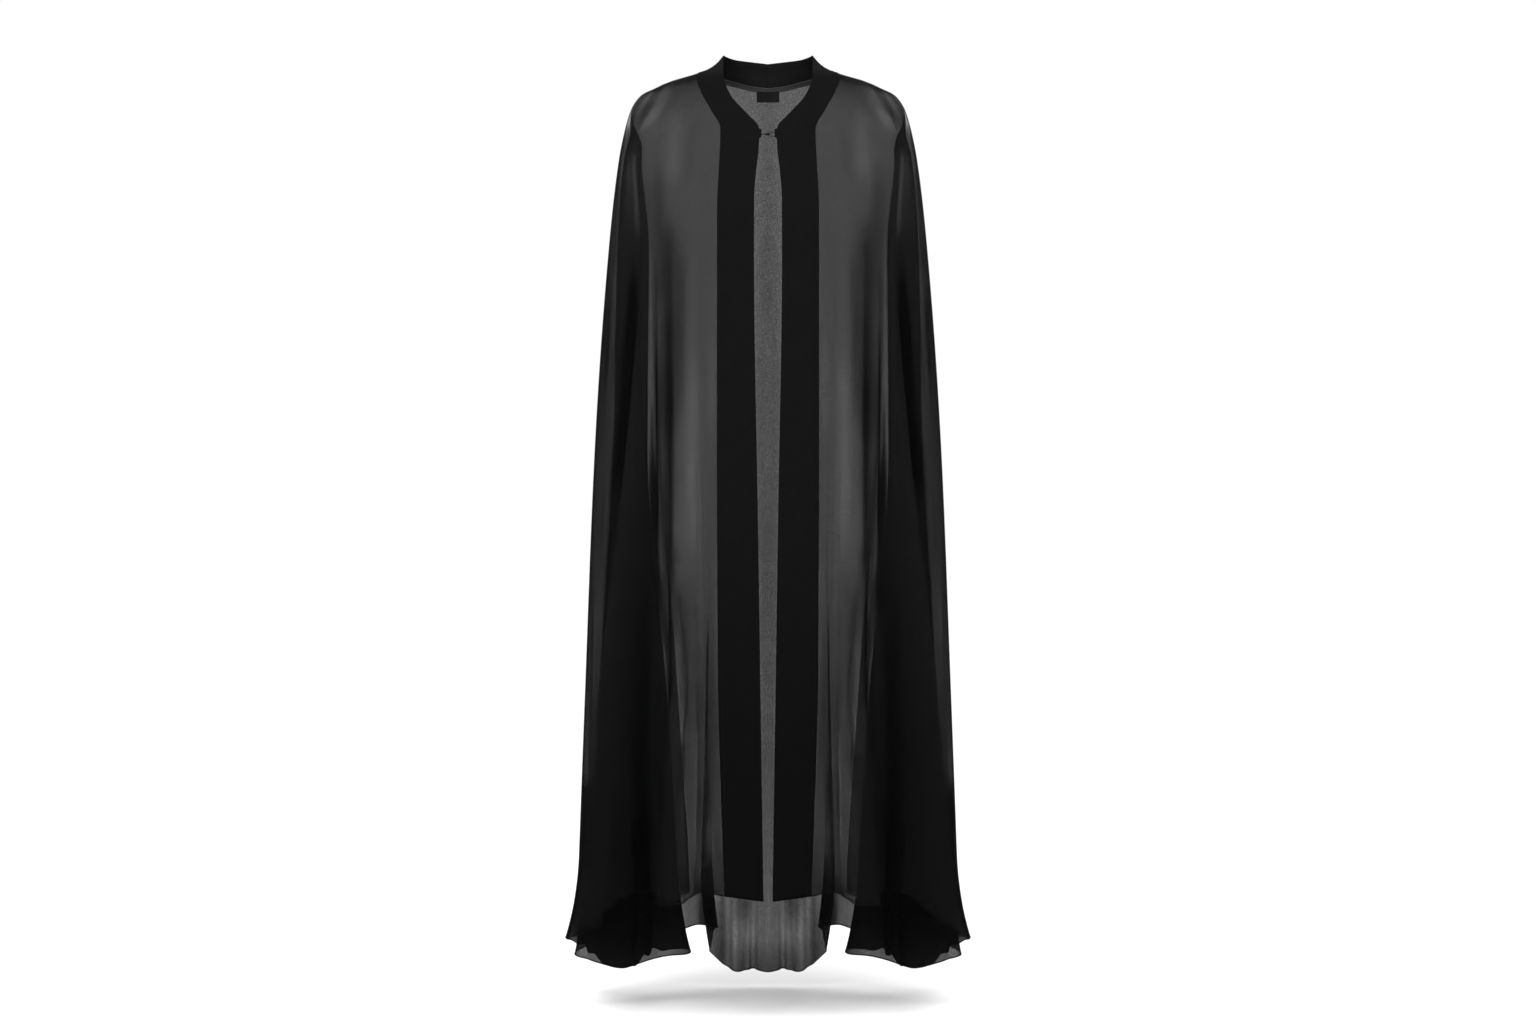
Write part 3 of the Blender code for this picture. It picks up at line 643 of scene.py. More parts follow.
def grid_shell(points: np.ndarray, normals: np.ndarray, wall: np.ndarray | float,
               **marks: np.ndarray) -> MeshData:
    """A closed thin shell round a grid: the grid moved half a wall out and half a wall in, with a
    rim between them. UVs are metres across and down.

    Args:
        points: the middle surface, rows by columns.
        normals: its outward normals.
        wall: thickness in metres, one number or one for each point.
        marks: named numbers for each point.

    Returns:
        The shell's arrays.
    """
    rows, columns = points.shape[:2]
    count = rows * columns
    shift = normals * np.broadcast_to(np.asarray(wall, float), (rows, columns))[..., None] / 2
    vertices = np.concatenate([(points + shift).reshape(-1, 3), (points - shift).reshape(-1, 3)])
    index = np.arange(count).reshape(rows, columns)
    a, b = index[:-1, :-1].ravel(), index[:-1, 1:].ravel()
    d, c = index[1:, :-1].ravel(), index[1:, 1:].ravel()
    outer = np.stack([a, d, c, b], axis=1)
    rim = np.concatenate([index[0, :-1], index[:-1, -1], index[-1, :0:-1], index[:0:-1, 0]])
    after = np.roll(rim, -1)
    sides = np.stack([rim, after, after + count, rim + count], axis=1)
    faces = np.concatenate([outer, outer[:, ::-1] + count, sides])
    uv = np.stack([arc_lengths(points, 1), -arc_lengths(points, 0)], axis=-1).reshape(-1, 2)
    both = {name: np.tile(values.ravel(), 2) for name, values in marks.items()}
    return MeshData(vertices, faces, np.concatenate([uv, uv]), both)


def sweep(path: np.ndarray, across: np.ndarray, up: np.ndarray, half_width: np.ndarray | float,
          half_height: np.ndarray | float, sides: int, power: float = 2.0) -> MeshData:
    """A closed bar along a path. Its section is the oval whose width and height shares, each
    raised to a power, add up to one: 2 is an ellipse and more is squarer.

    Args:
        path: points in order.
        across: direction of the section's width at each point.
        up: direction of its height.
        half_width: half the width in metres.
        half_height: half the height in metres.
        sides: points round the section.
        power: how square the section is.

    Returns:
        The bar's arrays, with its UVs in metres round and along.
    """
    count = len(path)
    turn = np.arange(sides) * 2 * np.pi / sides
    c, s = np.cos(turn), np.sin(turn)
    x = np.sign(c) * np.abs(c) ** (2 / power)
    y = np.sign(s) * np.abs(s) ** (2 / power)
    wide = np.broadcast_to(np.asarray(half_width, float), (count,))[:, None, None]
    high = np.broadcast_to(np.asarray(half_height, float), (count,))[:, None, None]
    ring = across[:, None] * x[None, :, None] * wide + up[:, None] * y[None, :, None] * high
    points = (path[:, None] + ring).reshape(-1, 3)
    index = np.arange(count * sides).reshape(count, sides)
    after = np.roll(index, -1, axis=1)
    walls = np.stack([index[:-1], after[:-1], after[1:], index[1:]], axis=-1).reshape(-1, 4)
    faces = [*walls.tolist(), index[0, ::-1].tolist(), index[-1].tolist()]
    reach = float(np.mean(wide + high))
    round_it = turn[None, :] * reach
    uv = np.stack(np.broadcast_arrays(round_it, arc_lengths(path, 0)[:, None]), axis=-1)
    return MeshData(points, faces, uv.reshape(-1, 2), {})


def flat_bar(path: np.ndarray, square: tuple, half_width: float, half_height: np.ndarray | float,
             sides: int) -> MeshData:
    """A closed bar along a path that lies in one plane, elliptic in section.

    Args:
        path: points in order.
        square: the direction square to that plane, which its height follows.
        half_width: half its width in metres.
        half_height: half its height in metres.
        sides: points round its section.

    Returns:
        The bar's arrays.
    """
    up = np.broadcast_to(np.array(square), path.shape)
    across = unit(np.cross(unit(np.gradient(path, axis=0)), up))
    return sweep(path, across, up, half_width, half_height, sides)


def joined(parts: list) -> MeshData:
    """Several closed meshes in one set of arrays: each one's faces count on from the last.

    Args:
        parts: their arrays.

    Returns:
        The arrays of them all, without named numbers.
    """
    faces: list = []
    start = 0
    for part in parts:
        faces += [[corner + start for corner in face] for face in part.faces]
        start += len(part.vertices)
    stacked = np.concatenate([part.vertices for part in parts])
    return MeshData(stacked, faces, np.concatenate([part.uv for part in parts]), {})


def mirrored(data: MeshData, side: Side) -> MeshData:
    """The mesh as it is on the right, or its mirror image with its faces turned on the left.

    Args:
        data: the right half's arrays.
        side: which half is wanted.

    Returns:
        That half's arrays.
    """
    if side is Side.RIGHT:
        return data
    whole = isinstance(data.faces, np.ndarray)
    faces = data.faces[:, ::-1] if whole else [face[::-1] for face in data.faces]
    return data._replace(vertices=data.vertices * MIRROR, faces=faces)


def signed_volume(data: MeshData) -> float:
    """Volume inside a closed mesh: the sum over fans of triangles of a third of corner times area.

    Args:
        data: its arrays.

    Returns:
        Cubic metres, negative when the faces look inwards.
    """
    total = 0.0
    groups: dict = {}
    for face in data.faces:
        groups.setdefault(len(face), []).append(face)
    for size, faces in groups.items():
        corner = data.vertices[np.array(faces)]
        for k in range(1, size - 1):
            total += float(np.sum(corner[:, 0] * np.cross(corner[:, k], corner[:, k + 1]))) / 6
    return total


def add_object(name: str, data: bpy.types.ID) -> bpy.types.Object:
    """Makes an object of a mesh, lamp or camera and puts it into the scene.

    Args:
        name: its name.
        data: what it shows.

    Returns:
        The object.
    """
    thing = bpy.data.objects.new(name, data)
    bpy.context.scene.collection.objects.link(thing)
    return thing


def add_piece(name: str, data: MeshData, finish: bpy.types.Material, slot: str,
              *nodes: str) -> bpy.types.Object:
    """Makes an object of a closed mesh, faces outwards, and hangs it on the CAD body.

    Args:
        name: the piece's name.
        data: its arrays.
        finish: its material.
        slot: the record's material slot; not used.
        nodes: the CAD nodes that it stands for.

    Returns:
        The object, at the origin.
    """
    faces = data.faces.tolist() if isinstance(data.faces, np.ndarray) else data.faces
    if signed_volume(data) < 0:
        faces = [face[::-1] for face in faces]
    mesh = bpy.data.meshes.new(name)
    mesh.from_pydata(data.vertices.tolist(), [], faces)
    mesh.shade_smooth()
    corners = np.zeros(len(mesh.loops), np.int32)
    mesh.loops.foreach_get("vertex_index", corners)
    layer = mesh.uv_layers.new(name="cloth")
    layer.data.foreach_set("uv", data.uv[corners].astype(np.float32).ravel())
    for mark, values in data.marks.items():
        attribute = mesh.attributes.new(mark, "FLOAT", "POINT")
        attribute.data.foreach_set("value", values.astype(np.float32))
    mesh.materials.append(finish)
    piece = add_object(name, mesh)
    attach(piece, BODY)
    if nodes:
        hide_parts(*nodes)
    LOG.info("%s: %d faces", name, len(mesh.polygons))
    return piece


def math_method(operation: str, swapped: bool = False) -> Callable:
    """Makes the method behind one of Python's operators.

    Args:
        operation: the Math node's operation.
        swapped: whether the other operand comes first.

    Returns:
        The method. It adds the node and returns its result as a Value.
    """
    def method(self: "Value", other: "Value | float") -> "Value":
        """The two operands in a Math node."""
        return self.graph.math(operation, *((other, self) if swapped else (self, other)))
    return method


class Value:
    """A shader number. Python's operators on it add Math nodes."""

    __add__, __radd__ = math_method("ADD"), math_method("ADD", True)
    __sub__, __rsub__ = math_method("SUBTRACT"), math_method("SUBTRACT", True)
    __mul__, __rmul__ = math_method("MULTIPLY"), math_method("MULTIPLY", True)
    __truediv__ = math_method("DIVIDE")

    def __init__(self, graph: "ShaderGraph", socket: bpy.types.NodeSocket) -> None:
        """Wraps one output socket."""
        self.graph = graph
        self.socket = socket


class ShaderGraph:
    """The nodes of one material, ending in a Principled shader."""

    def __init__(self, name: str) -> None:
        """Starts an empty material.

        Args:
            name: its name.
        """
        self.material = bpy.data.materials.new(name)
        self.material.use_nodes = True
        self.tree = self.material.node_tree
        self.tree.nodes.clear()

    def add(self, kind: str, settings: dict, inputs: dict) -> bpy.types.Node:
        """Adds a node of any kind.

        Args:
            kind: its type's name.
            settings: its own properties, set first.
            inputs: values or links of its sockets, by name or number.

        Returns:
            The node.
        """
        node = self.tree.nodes.new(kind)
        for name, value in settings.items():
            setattr(node, name, value)
        for name, value in inputs.items():
            self.feed(node.inputs[name], value)
        return node

    def feed(self, socket: bpy.types.NodeSocket, value: object) -> None:
        """Links a socket to a Value or another socket, or sets it.

        Args:
            socket: the input to feed.
            value: what it is given.
        """
        if isinstance(value, Value):
            value = value.socket
        if isinstance(value, bpy.types.NodeSocket):
            self.tree.links.new(value, socket)
        else:
            socket.default_value = value

    def math(self, operation: str, *operands: "Value | float") -> Value:
        """A Math node on values and numbers."""
        inputs = dict(enumerate(operands))
        return Value(self, self.add("ShaderNodeMath", {"operation": operation}, inputs).outputs[0])

    def place(self, kind: str, scale: tuple = (1.0, 1.0, 1.0)) -> bpy.types.NodeSocket:
        """Object or UV coordinates in metres, stretched along their axes.

        Args:
            kind: the Texture Coordinate node's output.
            scale: how far each axis is stretched.

        Returns:
            The coordinates.
        """
        source = self.add("ShaderNodeTexCoord", {}, {}).outputs[kind]
        mapping = self.add("ShaderNodeMapping", {}, {"Vector": source, "Scale": scale})
        return mapping.outputs[0]

    def noise(self, place: bpy.types.NodeSocket, scale: float, detail: float = 2.0) -> Value:
        """Noise from 0 to 1 with its middle near a half."""
        inputs = {"Vector": place, "Scale": scale, "Detail": detail}
        return Value(self, self.add("ShaderNodeTexNoise", {}, inputs).outputs[0])

    def axis(self, place: bpy.types.NodeSocket, number: int) -> Value:
        """One coordinate of a place."""
        return Value(self, self.add("ShaderNodeSeparateXYZ", {}, {0: place}).outputs[number])

    def attribute(self, name: str) -> Value:
        """A number kept with the mesh's points."""
        return Value(self, self.add("ShaderNodeAttribute", {"attribute_name": name}, {}).outputs["Fac"])

    def ribs(self, place: Value, pitch: float) -> Value:
        """A sine wave from 0 to 1 along a distance."""
        return self.math("SINE", place * (2 * np.pi / pitch)) * 0.5 + 0.5

    def clamped(self, share: Value) -> Value:
        """A number kept between 0 and 1."""
        return self.math("MINIMUM", self.math("MAXIMUM", share, 0.0), 1.0)

    def low(self, place: bpy.types.NodeSocket) -> Value:
        """A soft step from 0 above the waist to 1 near the hem, where the light falls off."""
        share = self.clamped((self.axis(place, 2) * -1.0 - DIM_FROM) / DIM_REACH)
        return share * share * (3.0 - share * 2.0)

    def blend(self, share: Value, dark: tuple, light: tuple) -> bpy.types.NodeSocket:
        """A colour between two."""
        inputs = {0: share, 6: (*dark, 1.0), 7: (*light, 1.0)}
        return self.add("ShaderNodeMix", {"data_type": "RGBA"}, inputs).outputs[2]

    def scaled(self, colour: bpy.types.NodeSocket, share: Value) -> bpy.types.NodeSocket:
        """A colour made darker or lighter by a number."""
        return self.add("ShaderNodeVectorMath", {"operation": "SCALE"}, {0: colour, 3: share}).outputs[0]

    def relief(self, height: Value, strength: float, depth: float) -> bpy.types.NodeSocket:
        """A bumped normal."""
        inputs = {"Height": height, "Strength": strength, "Distance": depth}
        return self.add("ShaderNodeBump", {}, inputs).outputs[0]

    def principled(self, **inputs: object) -> bpy.types.Material:
        """Ends the graph in a Principled shader.

        Args:
            inputs: its sockets, with underscores for spaces.

        Returns:
            The material.
        """
        named = {name.replace("_", " "): value for name, value in inputs.items()}
        shader = self.add("ShaderNodeBsdfPrincipled", {}, named)
        self.add("ShaderNodeOutputMaterial", {}, {"Surface": shader.outputs[0]})
        return self.material


@dataclass(frozen=True)
class SheerGeorgette:
    """Sheer crinkled cloth. Each face of the shell lets through exp(-depth / 2) of the light.

    even, by_grain, by_crinkle, by_streak: what its density is made of.
    shaded: painted shade, how much darker its colour is deep in a gather.
    fading: painted shade, how much darker its colour is near the floor, where the light falls off.
    """
    name: str = "sheer_georgette"
    dark: tuple = (0.0040, 0.0040, 0.0042)
    light: tuple = (0.0100, 0.0100, 0.0104)
    crepe: float = 620.0
    crinkle: float = 330.0
    streaks: tuple = (230.0, 5.0, 1.0)
    even: float = 0.14
    by_grain: float = 1.26
    by_crinkle: float = 0.28
    by_streak: float = 0.18
    shaded: float = 0.76
    # Painted shade: darker towards the floor, where the light falls off
    fading: float = 0.33

    def build(self) -> bpy.types.Material:
        """Crepe grain, coarser crinkle and long soft streaks down the fall vary its density.

        Returns:
            The material.
        """
        g = ShaderGraph(self.name)
        place = g.place("Object")
        grain = g.noise(place, self.crepe, 3.0)
        crinkle = g.noise(place, self.crinkle)
        streak = g.noise(g.place("UV", self.streaks), 1.0, 3.0)
        uneven = self.even + self.by_grain * grain + self.by_crinkle * crinkle + self.by_streak * streak
        # Painted shade: the colour darkens deep in gathers and towards the floor, where the light falls off
        hollow = g.attribute("hollow")
        lit = (1.0 - hollow * self.shaded) * (1.0 - g.low(place) * self.fading * (1.0 - hollow))
        return g.principled(
            Base_Color=g.scaled(g.blend(grain, self.dark, self.light), lit),
            Roughness=0.62 + 0.2 * crinkle,
            Alpha=1.0 - g.math("EXPONENT", g.attribute("depth") * uneven * -0.5),
            Normal=g.relief(grain * 0.6 + crinkle * 0.8, 0.35, 0.4 * MM),
            IOR=FAINT_SHEEN,
        )


@dataclass(frozen=True)
class MattCrepe:
    """Opaque fused crepe of the bands, with the sunk line of a row of stitches near its seam.

    behind: painted light, how much lighter its colour is behind and above the neck, where the collar's
    inside shows, from neck_back or neck_up onwards.
    """
    name: str = "band_crepe"
    dark: tuple = (0.0021, 0.0021, 0.0022)
    light: tuple = (0.0042, 0.0042, 0.0044)
    crepe: float = 620.0
    cloud: float = 38.0
    slubs: tuple = (420.0, 24.0, 1.0)
    stitch_line: float = 6.0 * MM
    line_width: float = 0.9 * MM
    # Painted shade: darker towards the floor, where the light falls off
    fading: float = 0.33
    # Painted light on the inside of the collar behind the neck
    behind: float = 0.9
    neck_back: float = 5.0 * CM
    neck_up: float = 2.0 * CM

    def build(self) -> bpy.types.Material:
        """Fine crepe grain, with a trough whose section is a bell along the stitches. The trough also
        darkens the colour as painted shade in the sunk line.

        Returns:
            The material.
        """
        g = ShaderGraph(self.name)
        place = g.place("Object")
        grain = g.noise(place, self.crepe, 3.0)
        cloud = g.noise(place, self.cloud)
        slub = g.noise(g.place("UV", self.slubs), 1.0)
        offset = (g.axis(g.place("UV"), 0) - self.stitch_line) / self.line_width
        trough = g.math("EXPONENT", offset * offset * -1.0)
        # The stitch trough darkens the colour: painted shade in the sunk line
        share = grain * 0.55 + cloud * 0.35 + slub * 0.2 - trough * 0.35
        neck = g.math("MAXIMUM", g.axis(place, 1) / self.neck_back, g.axis(place, 2) / self.neck_up)
        # Painted light lightens the collar behind the neck; painted shade darkens the band towards the
        # floor, where the light falls off
        lit = (1.0 - g.low(place) * self.fading) * (1.0 + g.clamped(neck) * self.behind)
        return g.principled(
            Base_Color=g.scaled(g.blend(share, self.dark, self.light), lit),
            Roughness=0.66 + 0.18 * grain,
            Normal=g.relief(grain * 0.5 + slub * 0.35 - trough * 2.2, 0.3, 0.3 * MM),
            IOR=FAINT_SHEEN,
        )


@dataclass(frozen=True)
class TwillTape:
    """Dark grey woven tape with fine slanting ribs."""
    name: str = "neck_tape_twill"
    dark: tuple = (0.021, 0.021, 0.022)
    light: tuple = (0.036, 0.036, 0.037)
    rib: float = 1.1 * MM
    slant: float = 1.4
    fuzz: float = 900.0

    def build(self) -> bpy.types.Material:
        """The ribs are a sine of distance across plus distance along.

        Returns:
            The material.
        """
        g = ShaderGraph(self.name)
        uv = g.place("UV")
        ribs = g.ribs(g.axis(uv, 0) + g.axis(uv, 1) * self.slant, self.rib)
        fuzz = g.noise(g.place("Object"), self.fuzz)
        return g.principled(
            Base_Color=g.blend(ribs * 0.6 + fuzz * 0.4, self.dark, self.light),
            Roughness=0.7 + 0.15 * fuzz,
            Normal=g.relief(ribs + fuzz * 0.3, 0.4, 0.2 * MM),
            IOR=FAINT_SHEEN,
        )


@dataclass(frozen=True)
class LabelSatin:
    """Bare black satin, finely ribbed across, with a paler woven edge all round."""
    name: str = "label_satin"
    dark: tuple = (0.0010, 0.0010, 0.0011)
    light: tuple = (0.0022, 0.0022, 0.0023)
    edge: float = 1.0 * MM
    thread: float = 0.55 * MM
    fuzz: float = 1100.0
    width: float = LABEL_WIDTH
    height: float = LABEL_HEIGHT

    def build(self) -> bpy.types.Material:
        """The edge is where the least distance to a side falls below its width.

        Returns:
            The material.
        """
        g = ShaderGraph(self.name)
        uv = g.place("UV")
        x, y = g.axis(uv, 0), g.axis(uv, 1) * -1.0
        near = g.math("MINIMUM", g.math("MINIMUM", x, self.width - x), g.math("MINIMUM", y, self.height - y))
        rim = g.math("LESS_THAN", near, self.edge)
        thread = g.ribs(y, self.thread)
        fuzz = g.noise(g.place("Object"), self.fuzz)
        return g.principled(
            Base_Color=g.blend(thread * 0.3 + fuzz * 0.2 + rim * 0.5, self.dark, self.light),
            Roughness=0.36 + 0.2 * fuzz + 0.2 * rim,
            Normal=g.relief(thread * 0.4 + rim * 1.2, 0.4, 0.15 * MM),
            IOR=SATIN_SHEEN,
        )


@dataclass(frozen=True)
class BlackLacquer:
    """Black lacquered brass wire, rubbed a little paler in small specks."""
    name: str = "clasp_lacquer"
    lacquer: tuple = (0.003, 0.003, 0.003)
    brass: tuple = (0.02, 0.018, 0.015)
    specks: float = 1500.0
    worn_from: float = 0.68
    smears: float = 700.0

    def build(self) -> bpy.types.Material:
        """The lacquer is worn where fine noise is highest.

        Returns:
            The material.
        """
        g = ShaderGraph(self.name)
        place = g.place("Object")
        wear = g.math("GREATER_THAN", g.noise(place, self.specks, 3.0), self.worn_from)
        return g.principled(
            Base_Color=g.blend(wear, self.lacquer, self.brass),
            Metallic=0.5 * wear,
            Roughness=0.34 + 0.2 * g.noise(place, self.smears),
            IOR=SATIN_SHEEN,
        )


@dataclass(frozen=True)
class SewingThread:
    """Black polyester thread with the twist of its plies."""
    name: str = "sewing_thread"
    dark: tuple = (0.004, 0.004, 0.004)
    light: tuple = (0.014, 0.014, 0.015)
    ply: float = 0.5 * MM
    twist: float = 2.0

    def build(self) -> bpy.types.Material:
        """The plies are a sine of distance along plus distance round.

        Returns:
            The material.
        """
        g = ShaderGraph(self.name)
        uv = g.place("UV")
        ply = g.ribs(g.axis(uv, 0) * self.twist + g.axis(uv, 1), self.ply)
        return g.principled(
            Base_Color=g.blend(ply, self.dark, self.light),
            Roughness=0.45 + 0.1 * ply,
            Normal=g.relief(ply, 0.4, 0.1 * MM),
            IOR=FAINT_SHEEN,
        )


@dataclass(frozen=True)
class PaleFloor:
    """Plain pale matt floor with the faintest unevenness."""
    name: str = "pale_floor"
    dark: tuple = (0.80, 0.80, 0.80)
    light: tuple = (0.84, 0.84, 0.84)
    cloud: float = 1.5

    def build(self) -> bpy.types.Material:
        """A matt white, clouded by noise.

        Returns:
            The material.
        """
        g = ShaderGraph(self.name)
        cloud = g.noise(g.place("Object"), self.cloud)
        return g.principled(
            Base_Color=g.blend(cloud, self.dark, self.light),
            Roughness=0.85 + 0.05 * cloud,
            Specular_IOR_Level=0.1,
        )


@dataclass(frozen=True)
class Finishes:
    """Every material of the garment, built once."""
    sheer: bpy.types.Material
    crepe: bpy.types.Material
    tape: bpy.types.Material
    satin: bpy.types.Material
    lacquer: bpy.types.Material
    thread: bpy.types.Material

    @classmethod
    def build(cls) -> "Finishes":
        """Builds each finish."""
        kinds = (SheerGeorgette, MattCrepe, TwillTape, LabelSatin, BlackLacquer, SewingThread)
        return cls(*(kind().build() for kind in kinds))


def sheer_bar(bar: MeshData, depth: float, hollow: float) -> MeshData:
    """A bar of folded sheer cloth, evenly dense, its colour evenly darkened by painted shade."""
    count = len(bar.vertices)
    return bar._replace(marks={"depth": np.full(count, depth), "hollow": np.full(count, hollow)})


@dataclass(frozen=True)
class Part:
    """A sub-assembly of the garment, with the surface of one half's cloth and the materials."""
    form: ClothForm
    finishes: Finishes


@dataclass(frozen=True)
class SheerPanel(Part):
    """One of the four panels of sheer cloth with its rolled hem.

    first, last: the fold lines that it lies between.
    density: how dense one layer is, as the power of its darkening.
    turned: how much denser it looks where it turns edge on.
    least_facing, most_layers: how far edge on the cloth counts, and what it counts as there.
    thinnest: the least share of its density that a smooth stretch keeps.
    deepest: the gather at which its painted shade is as dark as it gets.
    hem_overlap: the share of the hem's height above the panel's edge.
    hem_wobble: how uneven it is, and the paces of its two sines for each point.
    hem_power: how square its section is.
    """
    name: str
    first: int
    last: int
    density: float
    flat: tuple
    area: float
    rests_on: str
    wall: float = 0.5 * MM
    turned: float = 1.5
    least_facing: float = 0.22
    most_layers: float = 4.5
    thinnest: float = 0.15
    deepest: float = 3.0
    hem_height: float = 2.4 * MM
    hem_thickness: float = 1.7 * MM
    hem_overlap: float = 0.35
    hem_density: float = 5.0
    # Painted shade that darkens the rolled hem's colour
    hem_hollow: float = 0.5
    hem_wobble: tuple = (0.08, 1.9, 0.37)
    hem_power: float = 2.4

    def build(self, side: Side) -> None:
        """Args:
            side: which half.
        """
        patch = self.form.creased(self.first, self.last)
        # Painted shade: the colour darkens where the cloth is gathered
        hollow = np.clip(patch.gather / self.deepest, 0, 1)
        shell = grid_shell(patch.points, patch.normals, self.wall, depth=self.depth(patch), hollow=hollow)
        name = f"{self.name}_{side.word}"
        panel = add_piece(f"panel_{name}", mirrored(shell, side), self.finishes.sheer, "sheer", name)
        hem = add_piece(f"hem_{name}", mirrored(self.hem(patch), side), self.finishes.sheer, "sheer")

    def depth(self, patch: ClothPatch) -> np.ndarray:
        """How dense the cloth looks: one layer's density, more where it is gathered and where it
        turns edge on to the front, and less where it is pulled smooth over the chest.

        Args:
            patch: the panel's grid.

        Returns:
            The power of its darkening, at each point.
        """
        facing = np.abs(patch.normals[..., 1])
        layers = np.clip(1 / np.maximum(facing, self.least_facing), 1, self.most_layers)
        edge_on = 1 + self.turned * (layers - 1) / (self.most_layers - 1)
        return self.density * np.maximum(1 + patch.gather, self.thinnest) * edge_on

    def hem(self, patch: ClothPatch) -> MeshData:
        """The rolled hem: a squarish oval bar along the panel's last row, a little uneven.

        Args:
            patch: the panel's grid.

        Returns:
            The bar's arrays.
        """
        path, normals = patch.points[-1], patch.normals[-1]
        down = unit(patch.points[-1] - patch.points[-2])
        down = unit(down - normals * np.sum(down * normals, axis=-1, keepdims=True))
        fine = np.linspace(0, len(path) - 1, (len(path) - 1) * 2 + 1)
        whole = np.arange(len(path))
        path, normals, down = (smooth_through(whole, rows, fine) for rows in (path, normals, down))
        path = path - down * self.hem_height * self.hem_overlap
        size, quick, slow = self.hem_wobble
        step = np.arange(len(path))
        wobble = 1 + size * np.sin(step * quick) * np.sin(step * slow)
        bar = sweep(path, unit(down), unit(normals), self.hem_height / 2 * wobble,
                    self.hem_thickness / 2, sides=8, power=self.hem_power)
        return sheer_bar(bar, self.hem_density, self.hem_hollow)


@dataclass(frozen=True)
class FelledSeams(Part):
    """The flat felled seams over shoulder and arm, denser than the cloth as its layers lie folded."""
    half_width: float = 2.2 * MM
    half_height: float = 0.6 * MM
    shoulder_steps: int = 60
    power: float = 2.6
    density: float = 1.7
    # Painted shade that darkens the seams' colour
    hollow: float = 0.3

    def build(self) -> None:
        """Makes a squarish oval bar along each seam, on the cloth's surface."""
        folds = np.linspace(NECK_LINE, ARM_SEAM, self.shoulder_steps)
        shoulder = self.form.surface(np.array([0.0]), folds)[0]
        rows = fall_shares(self.form.roll_steps, self.form.fall_steps)
        arm = self.form.surface(rows, np.array([float(ARM_SEAM)]))[:, 0]
        path = np.concatenate([shoulder[:-1], arm])
        across = np.broadcast_to(np.array(ALONG_Y), path.shape)
        bar = sweep(path, across, self.form.seam_normals(path), self.half_width, self.half_height,
                    sides=8, power=self.power)
        bar = sheer_bar(bar, self.density, self.hollow)
        for side in Side:
            add_piece(f"seam_arm_{side.word}", mirrored(bar, side), self.finishes.sheer, "sheer")


